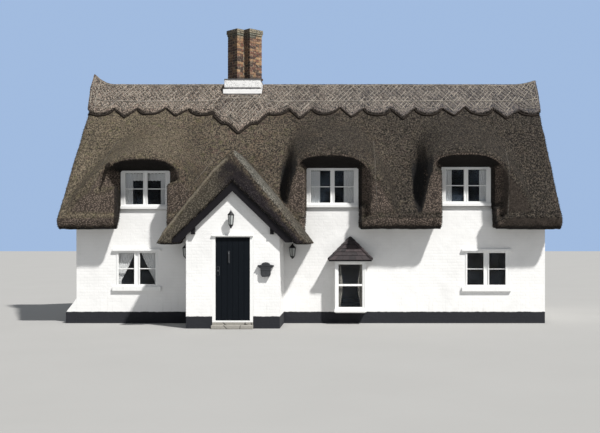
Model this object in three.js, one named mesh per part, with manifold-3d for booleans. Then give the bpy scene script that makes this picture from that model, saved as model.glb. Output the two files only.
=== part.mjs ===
// Thatched cottage with a gabled porch, three hooded dormers and a diagonal brick chimney.
// Millimetres. X runs along the front, Y from the front to the back, Z up from the ground.
// The origin is the middle of the plan, at ground level, under the ridge.
// A "run" is a distance behind the front wall's outer face, and the rear roof is the same form
// turned half round.

import * as THREE from 'three';
import { mergeVertices } from 'three/addons/utils/BufferGeometryUtils.js';
import Module from 'manifold-3d';

const wasm = await Module();
wasm.setup();

// Fits, and the reach of the bodies that cut others
const GAP = 0.3;
const PAST = 50;
const FAR = 9000;
const BELOW = -100;
const BITE = 2;
const TURNED = 180;

// Plan and storeys
const HOUSE_LENGTH = 12000;
const HOUSE_DEPTH = 5800;
const WALL = 300;
const FLOOR_TOP = 150;
const UPPER_FLOOR_BOTTOM = 2200;
const UPPER_FLOOR_TOP = 2380;

// Main roof
const WALL_TOP = 2876;
const ROOF_RISE = 1.072;
const THATCH_UPRIGHT = 528;
const EAVE_INNER = -450;
const EAVE_OUTER = -590;
const EAVE_BULGE = 100;
const EAVE_STEPS = 5;
const VERGE = 320;
const VERGE_ROUND = 120;
const VERGE_STEPS = 3;

// Hoods over the dormers. The arch of a hood keeps its form up the slope, so that the hood
// narrows towards the ridge.
const HOOD_ABOVE_HEAD = 435;
const HOOD_RISE = 0.447;
const HOOD_START = -500;
const HOOD_ARCH = 1650;
const HOOD_SHOULDER = -350;
const HOOD_NOSE = 350;
const HOOD_RUNS = [
  -583, -560, -520, -450, -350, -200, 0, 200, 400, 600, 800, 1000, 1200, 1400, 1600, 1760, 1880,
  1960, 2010,
];
const HOOD_STATIONS = [0.15, 0.3, 0.42, 0.52, 0.6, 0.68, 0.75, 0.81, 0.87, 0.92, 0.955, 0.985, 1];
const STEEP_SIDE = { shoulder: 930, spread: 0.09, width: 340 };
const STEEP_FLANK = { half: 1500, squareness: 2.4, blend: 200, steep: STEEP_SIDE };
const EASY_FLANK = { half: 1600, squareness: 1.9, blend: 330 };
const LONG_FLANK = { half: 1900, squareness: 1.6, blend: 330 };
const BROAD_HOOD = { left: LONG_FLANK, right: EASY_FLANK };
const PLAIN_HOOD = { left: STEEP_FLANK, right: EASY_FLANK };

// Mouths of the hoods. Each side has a neck beside the window, a cheek and a half of the arch.
const MOUTH_FRONT = -700;
const MOUTH_BACK = 5;
const FLARED_SIDE = { neck: [690, 2600], cheek: [1010, 2760], arch: [1060, 3550] };
const CLOSE_SIDE = { neck: [690, 3880], cheek: [900, 3950], arch: [930, 3970] };
const DROPPED_SIDE = { neck: [570, 3540], cheek: [1300, 3330], arch: [1240, 3420] };
const HIGH_SIDE = { neck: [670, 3560], cheek: [990, 3600], arch: [1040, 3640] };
const PLAIN_MOUTH = { left: CLOSE_SIDE, right: FLARED_SIDE, aboveHead: 365 };
const BROAD_MOUTH = { left: DROPPED_SIDE, right: HIGH_SIDE, aboveHead: 330 };
const MOUTH_SQUARENESS = { front: 2.4, back: 14 };
const MOUTH_STEPS = 14;
const TUNNEL_END = 1250;
const NOTCH_BOTTOM = 2000;
const NOTCH_TOP = 4200;

// Dormer windows: centre, width, underside of the sill and top of the frame
const DORMERS = [
  {
    name: 'left', x: -4235, width: 1265, sill: 2924, head: 3905,
    hood: BROAD_HOOD, mouth: BROAD_MOUTH,
  },
  {
    name: 'middle', x: 557, width: 1334, sill: 2967, head: 3974,
    hood: PLAIN_HOOD, mouth: PLAIN_MOUTH,
  },
  {
    name: 'right', x: 3979, width: 1273, sill: 3000, head: 4000,
    hood: PLAIN_HOOD, mouth: PLAIN_MOUTH,
  },
];
const REAR_DORMERS = [
  {
    name: 'rear_left', x: -3000, width: 1270, sill: 2967, head: 3974,
    hood: PLAIN_HOOD, mouth: PLAIN_MOUTH,
  },
  {
    name: 'rear_right', x: 3000, width: 1270, sill: 2967, head: 3974,
    hood: PLAIN_HOOD, mouth: PLAIN_MOUTH,
  },
];

// Ridge cap
const RIDGE_THICK = 140;
const RIDGE_CREST = 6610;
const RIDGE_BED = GAP * 4;
const RIDGE_CROWN = { shoulder: 150, round: 60, drop: 18, under: 30 };
const RIDGE_OVERHANG = 10;
const RIDGE_END_LENGTH = 600;
const RIDGE_END_STEPS = 4;
const RIDGE_LEFT_KICK = 300;
const RIDGE_RIGHT_KICK = 120;
const RIDGE_DRESSING = { run: 470, lift: 105, full: 545, none: 895 };
const SKIRT_RUN = 650;
const SKIRT_FACE = { out: 10, height: 60, in: 15 };
const LEFT_POINTS = { first: 1790, run: 270 };
const RIGHT_POINTS = { first: 1655, run: 320 };
const POINT_HALF_WIDTH = 340;
const LOBE_RUN = 210;
const LOBE_HALF_WIDTH = 375;
const LOBE_STATIONS = [-0.98, -0.8, -0.45, 0, 0.45, 0.8, 0.98];
const POINT_SPACING = 1430;
const POINT_COUNT = 5;
const BIG_POINT = [[750, 210], [500, 440], [300, 480], [0, 750]];
const CLOSEST_STATIONS = 25;

// Chimney
const CHIMNEY_X = -2040;
const BREAST = 900;
const BREAST_HOLE = [-350, 7000];
const COLLAR_BOTTOM = 5900;
const COLLAR_CORE = { half: 480, halfRun: 400 };
const COLLAR_LOWER = { half: 545, halfRun: 450, bottom: 6265, top: 6405 };
const COLLAR_UPPER = { half: 510, halfRun: 430, bottom: 6435, top: 6690 };
const STACK_TOP = 8130;
const SHAFT_X = -2015;
const SHAFT_DIAGONAL = 630;
const SHAFT_SPACING = 360;
const SHAFT_CAP = { height: 110, oversail: 35 };
const FLUE = 230;
const FLUE_DEPTH = 700;

// Porch
const PORCH_X = -1812;
const PORCH_HALF_WIDTH = 1128;
const PORCH_RUN = -1450;
const PORCH_WALL = 220;
const PORCH_LIP = -1650;
const PORCH_CROWN = [[0, 4330], [90, 4262], [430, 3900], [1400, 2705], [1640, 2392]];
const PORCH_EAVES = { left: 1830, right: 1899, z: 2060, chamfer: 60, drop: 35 };
const PORCH_ROUND = { depth: 420, steps: 4 };
const PORCH_SINK = {
  left: { crown: [200, 150, 80, 70, 60], reach: 30 },
  right: { crown: [200, 240, 290, 290, 280], reach: 150 },
};
const PORCH_SOFFIT_APEX = 3540;
const PORCH_SOFFIT_HALF = 1470;
const PORCH_SOFFIT_RISE = 0.969;
const PORCH_ROOF_END = 1000;
const BARGEBOARD = { depth: 240, thick: 35, run: -1585, short: 30, foot: 2070 };

// Front door
const DOOR_X = -1817;
const DOOR_WIDTH = 820;
const DOOR_TOP = 2195;
const DOOR_BOTTOM = 198;
const DOOR_THICK = 45;
const DOOR_SETBACK = 40;
const DOOR_CLEARANCE = 6;
const FRAME_WIDTH = 75;
const FRAME_DEPTH = DOOR_SETBACK + DOOR_THICK;
const HINGE = { radius: 6, sides: 10, behind: 7, beside: 3, height: 55, low: 450, high: 1850 };
const HINGE_PLATE = { width: 40, near: 2, far: 6, bed: 4, clear: 10 };
const DOOR_SILL = 40;
const DOOR_DRIP = { half: 500, reach: 45, tongue: 20, bottom: 2225, top: 2255 };
const KNOCKER = { left: -105, right: -80, reach: 25, bottom: 1590, top: 1850 };
const LATCH = { inset: 35, width: 50, reach: 22, bottom: 1290, top: 1480 };
const LINTEL = 2290;
const INNER_DOORWAY = { half: 450, top: 2150, lap: 10 };

// Windows in the walls
const LEFT_WINDOW = { x: -4449, width: 1100, sill: 834, bottom: 920, top: 1870, ledge: 1240 };
const RIGHT_WINDOW = { x: 4500, width: 1130, sill: 820, bottom: 905, top: 1870, ledge: 1260 };
const REAR_WINDOWS = [
  { name: 'rear_left', x: -3000, width: 1100, sill: 834, bottom: 920, top: 1870, ledge: 1240 },
  { name: 'rear_right', x: 3000, width: 1100, sill: 834, bottom: 920, top: 1870, ledge: 1240 },
];
const WINDOW_DEPTH = 100;
const CASING = 62;
const DORMER_CASING = 105;
const DORMER_HEAD_CASING = 55;
const DORMER_SILL = 75;
const MULLION = { front: 10, bite: 5 };
const DORMER_MULLION = 70;
const WALL_MULLION = 100;
const GLASS_THICK = 6;
const GLASS_SETBACK = 50;
const LEDGE = { reach: 60, tongue: 30, lap: 20, rise: 30 };

// Box bay with its tiled hood
const BAY = { x: 1015, width: 750, reach: 350, bottom: 290, sillTop: 390, top: 1600, side: 45 };
const BAY_FACE = 55;
const BAY_STOP = 20;
const BAY_RAIL = { front: 12, back: 40, half: 22 };
const BAY_SILL = { beyond: 30, reach: 45, bottom: 310, top: 375 };
const BAY_HOOD = { half: 530, reach: 450, base: 1603, edge: 40, apex: 2180 };

// Curtains: height range, half of the rail's length, widths of the two sides, depth of the head
const CURTAIN_THICK = 45;
const CURTAIN_LAP = 5;
const CURTAIN_FOOT = 110;
const CURTAIN_HEAD = -60;
const DORMER_CURTAINS = [
  { half: 545, sides: [170, 170], head: 190 },
  { half: 580, sides: [210, 290], head: 60 },
  { half: 545, sides: [190, 190], head: 60 },
];
const WALL_CURTAIN = { half: 515, sides: [300, 300], head: 60, bottom: 985, top: 1850 };
const BAY_CURTAIN = { half: 315, sides: [90, 90], head: 60, behind: 20 };

// Small fittings
const LETTERBOX = { x: -1016, depth: 85, arch: 105, rise: 57, steps: 6 };
const BROW_STEP = 12;
const LETTERBOX_SIDE = [[85, 1248], [118, 1300], [124, 1452], [160, 1466], [183, 1500], [183, 1528]];
const LANTERN = { reach: 135, sides: 6 };
const LANTERN_BODY = { top: 88, bottom: 62, height: 209, z: -20 };
const LANTERN_HAT = { top: 22, bottom: 105, height: 80, z: 119.5 };
const LANTERN_KNOB = { top: 12, bottom: 17, height: 50, z: 176.5 };
const LANTERN_BASE = { top: 64, bottom: 22, height: 65, z: -152.5 };
const LANTERN_PLATE = { half: 45, thick: 22, bottom: -170, top: 60 };
const LANTERN_ARM = { half: 11, end: 15, bottom: -149.5, top: -126.5 };
const LEFT_LANTERN = { x: -3166, z: 1836, girth: 1 };
const RIGHT_LANTERN = { x: -458, z: 1836, girth: 1 };
const PORCH_LAMP = { x: -1840, z: 2640, girth: 0.85 };

// Foot of the left gable, where the wall kicks out
const FOOT = [[0, 0], [-270, 0], [-270, 280], [-75, 530], [0, 640]];

const HALF_LENGTH = HOUSE_LENGTH / 2;
const FRONT = -HOUSE_DEPTH / 2;
const RIDGE_RUN = HOUSE_DEPTH / 2;
const ROOF_END = HALF_LENGTH + VERGE;

const material = (color, roughness, metalness = 0) => new THREE.MeshStandardMaterial({
  color, roughness, metalness, flatShading: true,
});
const LIMEWASH = material('#ece8e0', 0.9);
const THATCH = material('#6f5f4c', 1);
const RIDGE_THATCH = material('#857663', 1);
const BRICK = material('#94593d', 0.9);
const PAINT_WHITE = material('#f1f1ee', 0.5);
const PAINT_BLACK = material('#171a1f', 0.45);
const GLASS = material('#2a343d', 0.08);
const TILE = material('#493936', 0.8);
const FLOOR_BOARDS = material('#7d6a52', 0.8);
const STONE = material('#8f8a80', 0.9);
const NET = material('#ccd0cb', 0.9);
const BLACK_IRON = material('#1d1f21', 0.4, 0.6);

const SIMPLIFY = 0.002;
const WELD = 1e-3;

const cottage = new THREE.Group();

// Shapes

function outward(positions, index) {
  let volume = 0;
  const corner = (i) => new THREE.Vector3().fromArray(positions, i * 3);
  for (let i = 0; i < index.length; i += 3) {
    volume += corner(index[i]).dot(corner(index[i + 1]).cross(corner(index[i + 2])));
  }
  const faces = volume < 0 ? index.slice().reverse() : index;
  const geometry = new THREE.BufferGeometry();
  geometry.setAttribute('position', new THREE.Float32BufferAttribute(positions, 3));
  geometry.setIndex(faces);
  return geometry;
}

function solid(geometry) {
  const bare = geometry.clone();
  bare.deleteAttribute('normal');
  bare.deleteAttribute('uv');
  const merged = mergeVertices(bare, WELD);
  return new wasm.Manifold(new wasm.Mesh({
    numProp: 3,
    vertProperties: new Float32Array(merged.attributes.position.array),
    triVerts: new Uint32Array(merged.index.array),
  }));
}

function add(name, shape, finish) {
  const data = shape.simplify(SIMPLIFY).getMesh();
  const geometry = new THREE.BufferGeometry();
  const positions = new Float32Array(data.vertProperties);
  geometry.setAttribute('position', new THREE.BufferAttribute(positions, 3));
  geometry.setIndex(new THREE.BufferAttribute(new Uint32Array(data.triVerts), 1));
  geometry.computeVertexNormals();
  const mesh = new THREE.Mesh(geometry, finish);
  mesh.name = name;
  cottage.add(mesh);
}

const join = (...shapes) => shapes.reduce((whole, shape) => whole.add(shape));
const cut = (shape, ...cutters) => cutters.reduce((rest, cutter) => rest.subtract(cutter), shape);

// The biggest of the bodies that a cut leaves.
function largest(shape) {
  return shape.decompose().reduce((most, part) => (part.volume() > most.volume() ? part : most));
}

// A box given by its limits along X, by run behind the front face, and by height.
function block([x0, x1], [run0, run1], [z0, z1]) {
  const geometry = new THREE.BoxGeometry(x1 - x0, run1 - run0, z1 - z0);
  geometry.translate((x0 + x1) / 2, FRONT + (run0 + run1) / 2, (z0 + z1) / 2);
  return solid(geometry);
}

const around = (centre, half) => [centre - half, centre + half];

// An outline of [x, z] points, carried from one run to another.
function alongY(outline, run0, run1) {
  const shape = new THREE.Shape(outline.map(([x, z]) => new THREE.Vector2(x, z)));
  const geometry = new THREE.ExtrudeGeometry(shape, { depth: run1 - run0, bevelEnabled: false });
  geometry.rotateX(Math.PI / 2);
  geometry.translate(0, FRONT + run1, 0);
  return solid(geometry);
}

// An outline of [run, z] points, carried from one X to another.
function alongX(outline, x0, x1) {
  const shape = new THREE.Shape(outline.map(([run, z]) => new THREE.Vector2(FRONT + run, z)));
  const geometry = new THREE.ExtrudeGeometry(shape, { depth: x1 - x0, bevelEnabled: false });
  geometry.rotateX(Math.PI / 2);
  geometry.rotateZ(Math.PI / 2);
  geometry.translate(x0, 0, 0);
  return solid(geometry);
}

// A skin over a row of closed rings with equal numbers of points. The first and last rings are
// closed by flat faces, fanned about a point that hub() places in the ring's plane.
function loft(rings, hub) {
  const count = rings[0].length;
  const positions = [...rings.flat(2), ...hub(rings[0]), ...hub(rings.at(-1))];
  const firstHub = rings.length * count;
  const last = firstHub - count;
  const index = [];
  for (let j = 0; j < count; j += 1) {
    const next = (j + 1) % count;
    for (let i = 0; i + 1 < rings.length; i += 1) {
      const a = i * count + j;
      const b = i * count + next;
      index.push(a, b, b + count, a, b + count, a + count);
    }
    index.push(next, j, firstHub, last + j, last + next, firstHub + 1);
  }
  return solid(outward(positions, index));
}

const ringCentre = (ring) => [0, 1, 2].map((axis) => (
  ring.reduce((sum, point) => sum + point[axis], 0) / ring.length));

const range = (count) => Array.from({ length: count + 1 }, (_, i) => i / count);

// Main roof

const underside = (run) => WALL_TOP + ROOF_RISE * run;
const outerFace = (run) => underside(run) + THATCH_UPRIGHT;

// Rounded lower edge of the thatch, from the underside to the outer face.
function eaveEdge(grow) {
  const inner = new THREE.Vector2(EAVE_INNER, underside(EAVE_INNER) - grow);
  const outer = new THREE.Vector2(EAVE_OUTER - grow, outerFace(EAVE_OUTER));
  const chord = outer.clone().sub(inner);
  const away = new THREE.Vector2(-chord.y, chord.x).normalize();
  return range(EAVE_STEPS).map((t) => {
    const angle = Math.PI * t;
    const along = (1 - Math.cos(angle)) / 2;
    const point = inner.clone().addScaledVector(chord, along);
    return point.addScaledVector(away, (EAVE_BULGE + grow) * Math.sin(angle));
  });
}

// The part of a height above zero, with a soft turn where it passes zero.
function softPart(height, blend) {
  if (height >= blend) return height;
  return height <= -blend ? 0 : (height + blend) ** 2 / (4 * blend);
}

// The share of its height that a hood keeps on a steep side, from its shoulder down to its foot.
function steepShare({ shoulder, spread, width }, distance, run) {
  const past = (distance - shoulder - spread * (run - HOOD_START)) / width;
  const t = Math.min(1, Math.max(0, past));
  return 1 - t * t * (3 - 2 * t);
}

// How far the hood of a dormer stands above the plain slope.
function hoodLift({ x: centre, head, hood }, x, run, grow) {
  const { half, squareness, blend, steep } = x < centre ? hood.left : hood.right;
  const distance = Math.abs(x - centre);
  const across = Math.min(1, distance / (half + grow));
  const side = (1 - across ** squareness) ** (1 / squareness);
  const behind = Math.max(0, (HOOD_SHOULDER - run) / (HOOD_SHOULDER - EAVE_OUTER));
  const nose = HOOD_NOSE * (1 - Math.sqrt(Math.max(0, 1 - behind ** 2)));
  const crest = head + HOOD_ABOVE_HEAD + HOOD_RISE * (run - HOOD_START) - nose;
  const lift = softPart(crest + grow - outerFace(run) - HOOD_ARCH * (1 - side), blend);
  return steep ? lift * steepShare(steep, distance - grow, run) : lift;
}

// Stations along X: round verges, and close ones over each hood.
function roofStations(dormers, grow) {
  const verge = range(VERGE_STEPS).map((t) => VERGE_ROUND * Math.sin(t * Math.PI / 2));
  const right = verge.map((d) => {
    const drop = VERGE_ROUND - Math.sqrt(Math.max(0, VERGE_ROUND ** 2 - d ** 2));
    return { x: ROOF_END - VERGE_ROUND + d, drop };
  });
  const left = right.map(({ x, drop }) => ({ x: -x, drop })).reverse();
  const middle = dormers.flatMap(({ x, hood }) => {
    const steps = ({ half }) => HOOD_STATIONS.map((t) => t * (half + grow));
    const leftward = steps(hood.left).map((d) => x - d).reverse();
    return [...leftward, x, ...steps(hood.right).map((d) => x + d)];
  });
  return [...left, ...middle.map((x) => ({ x, drop: 0 })), ...right];
}

// One slope of the roof with its hoods. grow swells it, for cutting what lies against it.
function roofSlope(dormers, grow = 0) {
  const edge = eaveEdge(grow);
  const swell = grow * 1.5;
  const rings = roofStations(dormers, grow).map(({ x, drop }) => {
    const top = [...HOOD_RUNS, RIDGE_RUN].map((run) => {
      const lift = dormers.reduce((most, d) => Math.max(most, hoodLift(d, x, run, grow)), 0);
      return [x, FRONT + run, outerFace(run) + swell + lift - drop];
    });
    const lip = edge.map((p, i) => [x, FRONT + p.x, p.y - drop * i / EAVE_STEPS]);
    return [[x, FRONT + RIDGE_RUN, underside(RIDGE_RUN) - swell], ...lip, ...top];
  });
  return loft(rings, ringCentre);
}

// An arch over two springing points, each a half width and a height.
function superArch(left, right, top, squareness) {
  return range(MOUTH_STEPS).map((t) => {
    const angle = Math.PI * (1 - t);
    const c = Math.cos(angle);
    const power = 2 / squareness;
    const [halfWidth, spring] = c < 0 ? left : right;
    const x = Math.sign(c) * halfWidth * Math.abs(c) ** power;
    return [x, spring + (top - spring) * Math.sin(angle) ** power];
  });
}

// The flared mouth in front of a dormer window, and the square way through the thatch behind it.
function dormerOpening(dormer) {
  const half = dormer.width / 2 + GAP;
  const lipTop = dormer.head + dormer.mouth.aboveHead;
  const head = dormer.head + GAP;
  const { front: frontSquareness, back: backSquareness } = MOUTH_SQUARENESS;
  const narrowed = (side) => ({
    neck: [half, side.neck[1]], cheek: [half, side.cheek[1]], arch: [half, side.arch[1]],
  });
  const outline = (left, right, top, squareness) => [
    [-left.neck[0], NOTCH_BOTTOM], [-left.neck[0], left.neck[1]], [-left.cheek[0], left.cheek[1]],
    ...superArch(left.arch, right.arch, top, squareness),
    right.cheek, right.neck, [right.neck[0], NOTCH_BOTTOM],
  ];
  const place = (points, run) => points.map(([x, z]) => [dormer.x + x, FRONT + run, z]);
  const { left, right } = dormer.mouth;
  const mouth = loft([
    place(outline(left, right, lipTop, frontSquareness), MOUTH_FRONT),
    place(outline(narrowed(left), narrowed(right), head, backSquareness), MOUTH_BACK),
  ], ringCentre);
  const tunnel = [-LEDGE.reach - GAP, TUNNEL_END];
  return join(mouth, block(around(dormer.x, half), tunnel, [NOTCH_BOTTOM, head]));
}

// Under the porch roof, down to the ground and back to the house wall.
function porchSpace(grow) {
  const half = PORCH_SOFFIT_HALF + grow;
  const apex = PORCH_SOFFIT_APEX + grow;
  const edge = apex - PORCH_SOFFIT_RISE * half;
  const outline = [[-half, BELOW], [half, BELOW], [half, edge], [0, apex], [-half, edge]];
  const moved = outline.map(([x, z]) => [PORCH_X + x, z]);
  return alongY(moved, PORCH_LIP - PAST, 0);
}

function breastHole() {
  const half = BREAST / 2 + GAP;
  return block(around(CHIMNEY_X, half), around(RIDGE_RUN, half), BREAST_HOLE);
}

function collarHole() {
  const { half, halfRun } = COLLAR_LOWER;
  return block(around(CHIMNEY_X, half + GAP), around(RIDGE_RUN, halfRun + GAP),
    [COLLAR_BOTTOM - GAP, BREAST_HOLE[1]]);
}

function mainRoof() {
  const front = cut(roofSlope(DORMERS), ...DORMERS.map(dormerOpening), porchSpace(GAP));
  const rear = cut(roofSlope(REAR_DORMERS), ...REAR_DORMERS.map(dormerOpening));
  const beyondRidge = block([-FAR, FAR], [RIDGE_RUN - GAP / 2, FAR], [0, FAR]);
  add('front_thatch', cut(front, beyondRidge, breastHole(), collarHole()), THATCH);
  const turned = cut(rear, beyondRidge).rotate([0, 0, TURNED]);
  add('rear_thatch', cut(turned, breastHole(), collarHole()), THATCH);
}

// Ridge cap with its cut skirt

// How far down the slope the skirt reaches at a place along the ridge.
function skirtRun(x) {
  const d = Math.abs(x - CHIMNEY_X);
  if (d < BIG_POINT[0][0]) {
    const next = BIG_POINT.findIndex(([reach]) => reach <= d);
    const [outerD, outerRun] = BIG_POINT[next - 1];
    const [innerD, innerRun] = BIG_POINT[next];
    return SKIRT_RUN + innerRun + (outerRun - innerRun) * (d - innerD) / (outerD - innerD);
  }
  const points = x < CHIMNEY_X ? LEFT_POINTS : RIGHT_POINTS;
  const phase = (d - points.first) / POINT_SPACING;
  const fromPoint = Math.abs(phase - Math.round(phase)) * POINT_SPACING;
  if (fromPoint < POINT_HALF_WIDTH) {
    return SKIRT_RUN + points.run * (1 - fromPoint / POINT_HALF_WIDTH);
  }
  const fromLobe = POINT_SPACING / 2 - fromPoint;
  return SKIRT_RUN + LOBE_RUN * Math.sqrt(Math.max(0, 1 - (fromLobe / LOBE_HALF_WIDTH) ** 2));
}

function ridgeStations() {
  const end = ROOF_END + RIDGE_OVERHANG;
  const beside = [...BIG_POINT.map(([d]) => d), RIDGE_DRESSING.full, RIDGE_DRESSING.none];
  const offsets = beside.flatMap((d) => [d, -d]);
  for (let k = 0; k < POINT_COUNT; k += 1) {
    for (const [side, { first }] of [[-1, LEFT_POINTS], [1, RIGHT_POINTS]]) {
      const point = first + k * POINT_SPACING;
      const lobe = LOBE_STATIONS.map((t) => point - POINT_SPACING / 2 + t * LOBE_HALF_WIDTH);
      offsets.push(...[point, ...lobe].map((d) => side * d));
    }
  }
  const kicks = range(RIDGE_END_STEPS).map((t) => end - RIDGE_END_LENGTH * t);
  const all = [...offsets.map((d) => CHIMNEY_X + d), ...kicks, ...kicks.map((x) => -x)];
  const inside = [...new Set(all.map(Math.round))].filter((x) => Math.abs(x) <= end);
  const sorted = inside.sort((a, b) => a - b);
  return sorted.filter((x, i) => i === 0 || x - sorted[i - 1] > CLOSEST_STATIONS);
}

// How far the cap is dressed up against the chimney.
function dressing(x) {
  const { lift, full, none } = RIDGE_DRESSING;
  const t = (none - Math.abs(x - CHIMNEY_X)) / (none - full);
  return lift * Math.min(1, Math.max(0, t));
}

function ridgeCap() {
  const end = ROOF_END + RIDGE_OVERHANG;
  const under = outerFace(RIDGE_RUN);
  const { shoulder, round, drop } = RIDGE_CROWN;
  const rings = ridgeStations().map((x) => {
    const near = Math.max(0, 1 - (end - Math.abs(x)) / RIDGE_END_LENGTH);
    const kick = (x < 0 ? RIDGE_LEFT_KICK : RIDGE_RIGHT_KICK) * near ** 2;
    const run = skirtRun(x);
    const base = outerFace(RIDGE_RUN - run) + RIDGE_BED;
    const top = (d) => outerFace(RIDGE_RUN - d) + RIDGE_THICK + kick;
    const half = [
      [run, base], [run + SKIRT_FACE.out, base + SKIRT_FACE.height],
      [run - SKIRT_FACE.in, base + RIDGE_THICK],
      [RIDGE_DRESSING.run, top(RIDGE_DRESSING.run) + dressing(x)],
      [shoulder, top(shoulder)], [round, RIDGE_CREST + kick - drop],
    ];
    const front = half.map(([d, z]) => [x, -d, z]);
    const rear = half.map(([d, z]) => [x, d, z]).reverse();
    return [...front, [x, 0, RIDGE_CREST + kick], ...rear, [x, 0, under + RIDGE_BED]];
  });
  const underCrest = (ring) => [ring[0][0], 0, under + RIDGE_CROWN.under];
  const whole = loft(rings, underCrest);
  const rearSlope = roofSlope(REAR_DORMERS, GAP).rotate([0, 0, TURNED]);
  add('ridge_cap', cut(whole, collarHole(), roofSlope(DORMERS, GAP), rearSlope), RIDGE_THATCH);
}

// Chimney

function diamond(centre, diagonal, z0, z1) {
  const side = diagonal / Math.SQRT2;
  const geometry = new THREE.BoxGeometry(side, side, z1 - z0);
  geometry.rotateZ(Math.PI / 4);
  geometry.translate(centre, 0, (z0 + z1) / 2);
  return solid(geometry);
}

function chimney() {
  const tier = ({ half, halfRun, bottom, top }) => block(around(CHIMNEY_X, half),
    around(RIDGE_RUN, halfRun), [bottom, top]);
  const breast = { half: BREAST / 2, halfRun: BREAST / 2, bottom: FLOOR_TOP, top: COLLAR_BOTTOM };
  const core = { ...COLLAR_CORE, bottom: COLLAR_BOTTOM, top: COLLAR_UPPER.top };
  add('chimney_breast', tier(breast), BRICK);
  add('chimney_base', join(tier(core), tier(COLLAR_LOWER), tier(COLLAR_UPPER)), LIMEWASH);
  const centres = around(SHAFT_X, SHAFT_SPACING / 2);
  const capBottom = STACK_TOP - SHAFT_CAP.height;
  const capDiagonal = SHAFT_DIAGONAL + SHAFT_CAP.oversail * 2;
  const shafts = centres.map((x) => diamond(x, SHAFT_DIAGONAL, COLLAR_UPPER.top, STACK_TOP));
  const caps = centres.map((x) => diamond(x, capDiagonal, capBottom, STACK_TOP));
  const flues = centres.map((x) => diamond(x, FLUE, STACK_TOP - FLUE_DEPTH, STACK_TOP + PAST));
  add('chimney_stack', cut(join(...shafts, ...caps), ...flues), BRICK);
}

// House walls and floors

const THROUGH_WALL = [-PAST, WALL + PAST];

const houseWindow = (w) => block(around(w.x, w.width / 2), THROUGH_WALL, [w.bottom, w.top]);
const dormerGap = (d) => block(around(d.x, d.width / 2 + GAP), THROUGH_WALL, [d.sill, NOTCH_TOP]);

const longWallSection = (base) => [
  [0, base], [WALL, base], [WALL, underside(WALL) - GAP], [0, underside(0) - GAP],
];

function houseWalls() {
  const doorway = around(DOOR_X, INNER_DOORWAY.half);
  const bay = block(around(BAY.x, BAY.width / 2 - BAY.side), THROUGH_WALL,
    [BAY.sillTop, BAY.top - BAY.side]);
  const [leftDormer, ...otherDormers] = DORMERS.map(dormerGap);
  const leftWall = alongX(longWallSection(0), -HALF_LENGTH, doorway[0]);
  add('front_wall_left', cut(leftWall, houseWindow(LEFT_WINDOW), leftDormer), LIMEWASH);
  const rightWall = alongX(longWallSection(0), doorway[1], HALF_LENGTH);
  const rightOpenings = [houseWindow(RIGHT_WINDOW), bay, ...otherDormers];
  add('front_wall_right', cut(rightWall, ...rightOpenings), LIMEWASH);
  const over = alongX(longWallSection(INNER_DOORWAY.top), doorway[0] + GAP, doorway[1] - GAP);
  add('front_wall_over_doorway', over, LIMEWASH);
  const rear = cut(alongX(longWallSection(0), -HALF_LENGTH, HALF_LENGTH),
    ...REAR_WINDOWS.map(houseWindow), ...REAR_DORMERS.map(dormerGap));
  add('rear_wall', rear.rotate([0, 0, TURNED]), LIMEWASH);

  const inner = WALL + GAP;
  const far = HOUSE_DEPTH - inner;
  const top = underside(inner) - GAP;
  const gable = [
    [inner, 0], [far, 0], [far, top], [RIDGE_RUN, underside(RIDGE_RUN) - GAP], [inner, top],
  ];
  add('left_gable_wall', alongX(gable, -HALF_LENGTH, -HALF_LENGTH + WALL), LIMEWASH);
  add('right_gable_wall', alongX(gable, HALF_LENGTH - WALL, HALF_LENGTH), LIMEWASH);
  const foot = FOOT.map(([x, z]) => [-HALF_LENGTH + x, z]);
  add('left_gable_foot', alongY(foot, 0, HOUSE_DEPTH), LIMEWASH);
}

function floors() {
  const inside = [-HALF_LENGTH + WALL + GAP, HALF_LENGTH - WALL - GAP];
  const depth = [WALL + GAP, HOUSE_DEPTH - WALL - GAP];
  add('floor_slab', block(inside, depth, [0, FLOOR_TOP]), STONE);
  const upper = block(inside, depth, [UPPER_FLOOR_BOTTOM, UPPER_FLOOR_TOP]);
  add('upper_floor', cut(upper, breastHole()), FLOOR_BOARDS);
}

// Porch

const doorOpening = DOOR_WIDTH / 2 + DOOR_CLEARANCE + FRAME_WIDTH;

function porchWalls() {
  const soffit = (x) => PORCH_SOFFIT_APEX - PORCH_SOFFIT_RISE * Math.abs(x) - GAP;
  const out = PORCH_HALF_WIDTH;
  const inner = PORCH_HALF_WIDTH - PORCH_WALL;
  const sides = [PORCH_RUN + PORCH_WALL + GAP, -GAP];
  const front = [PORCH_RUN, PORCH_RUN + PORCH_WALL];
  const wall = (name, outline, [run0, run1]) => {
    const moved = outline.map(([x, z]) => [PORCH_X + x, z]);
    add(name, alongY(moved, run0, run1), LIMEWASH);
  };
  for (const [name, side] of [['porch_left_wall', -1], ['porch_right_wall', 1]]) {
    const [near, wide] = [side * inner, side * out];
    wall(name, [[wide, 0], [near, 0], [near, soffit(near)], [wide, soffit(wide)]], sides);
  }
  const pier = (x0, x1) => [[x0, 0], [x1, 0], [x1, LINTEL], [x0, LINTEL]];
  const [doorLeft, doorRight] = around(DOOR_X - PORCH_X, doorOpening);
  wall('porch_front_left', pier(-out, doorLeft), front);
  wall('porch_front_right', pier(doorRight, out), front);
  const gable = [[-out, LINTEL], [out, LINTEL], [out, soffit(out)], [0, soffit(0)]];
  wall('porch_gable', [...gable, [-out, soffit(out)]], front);
}

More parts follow.
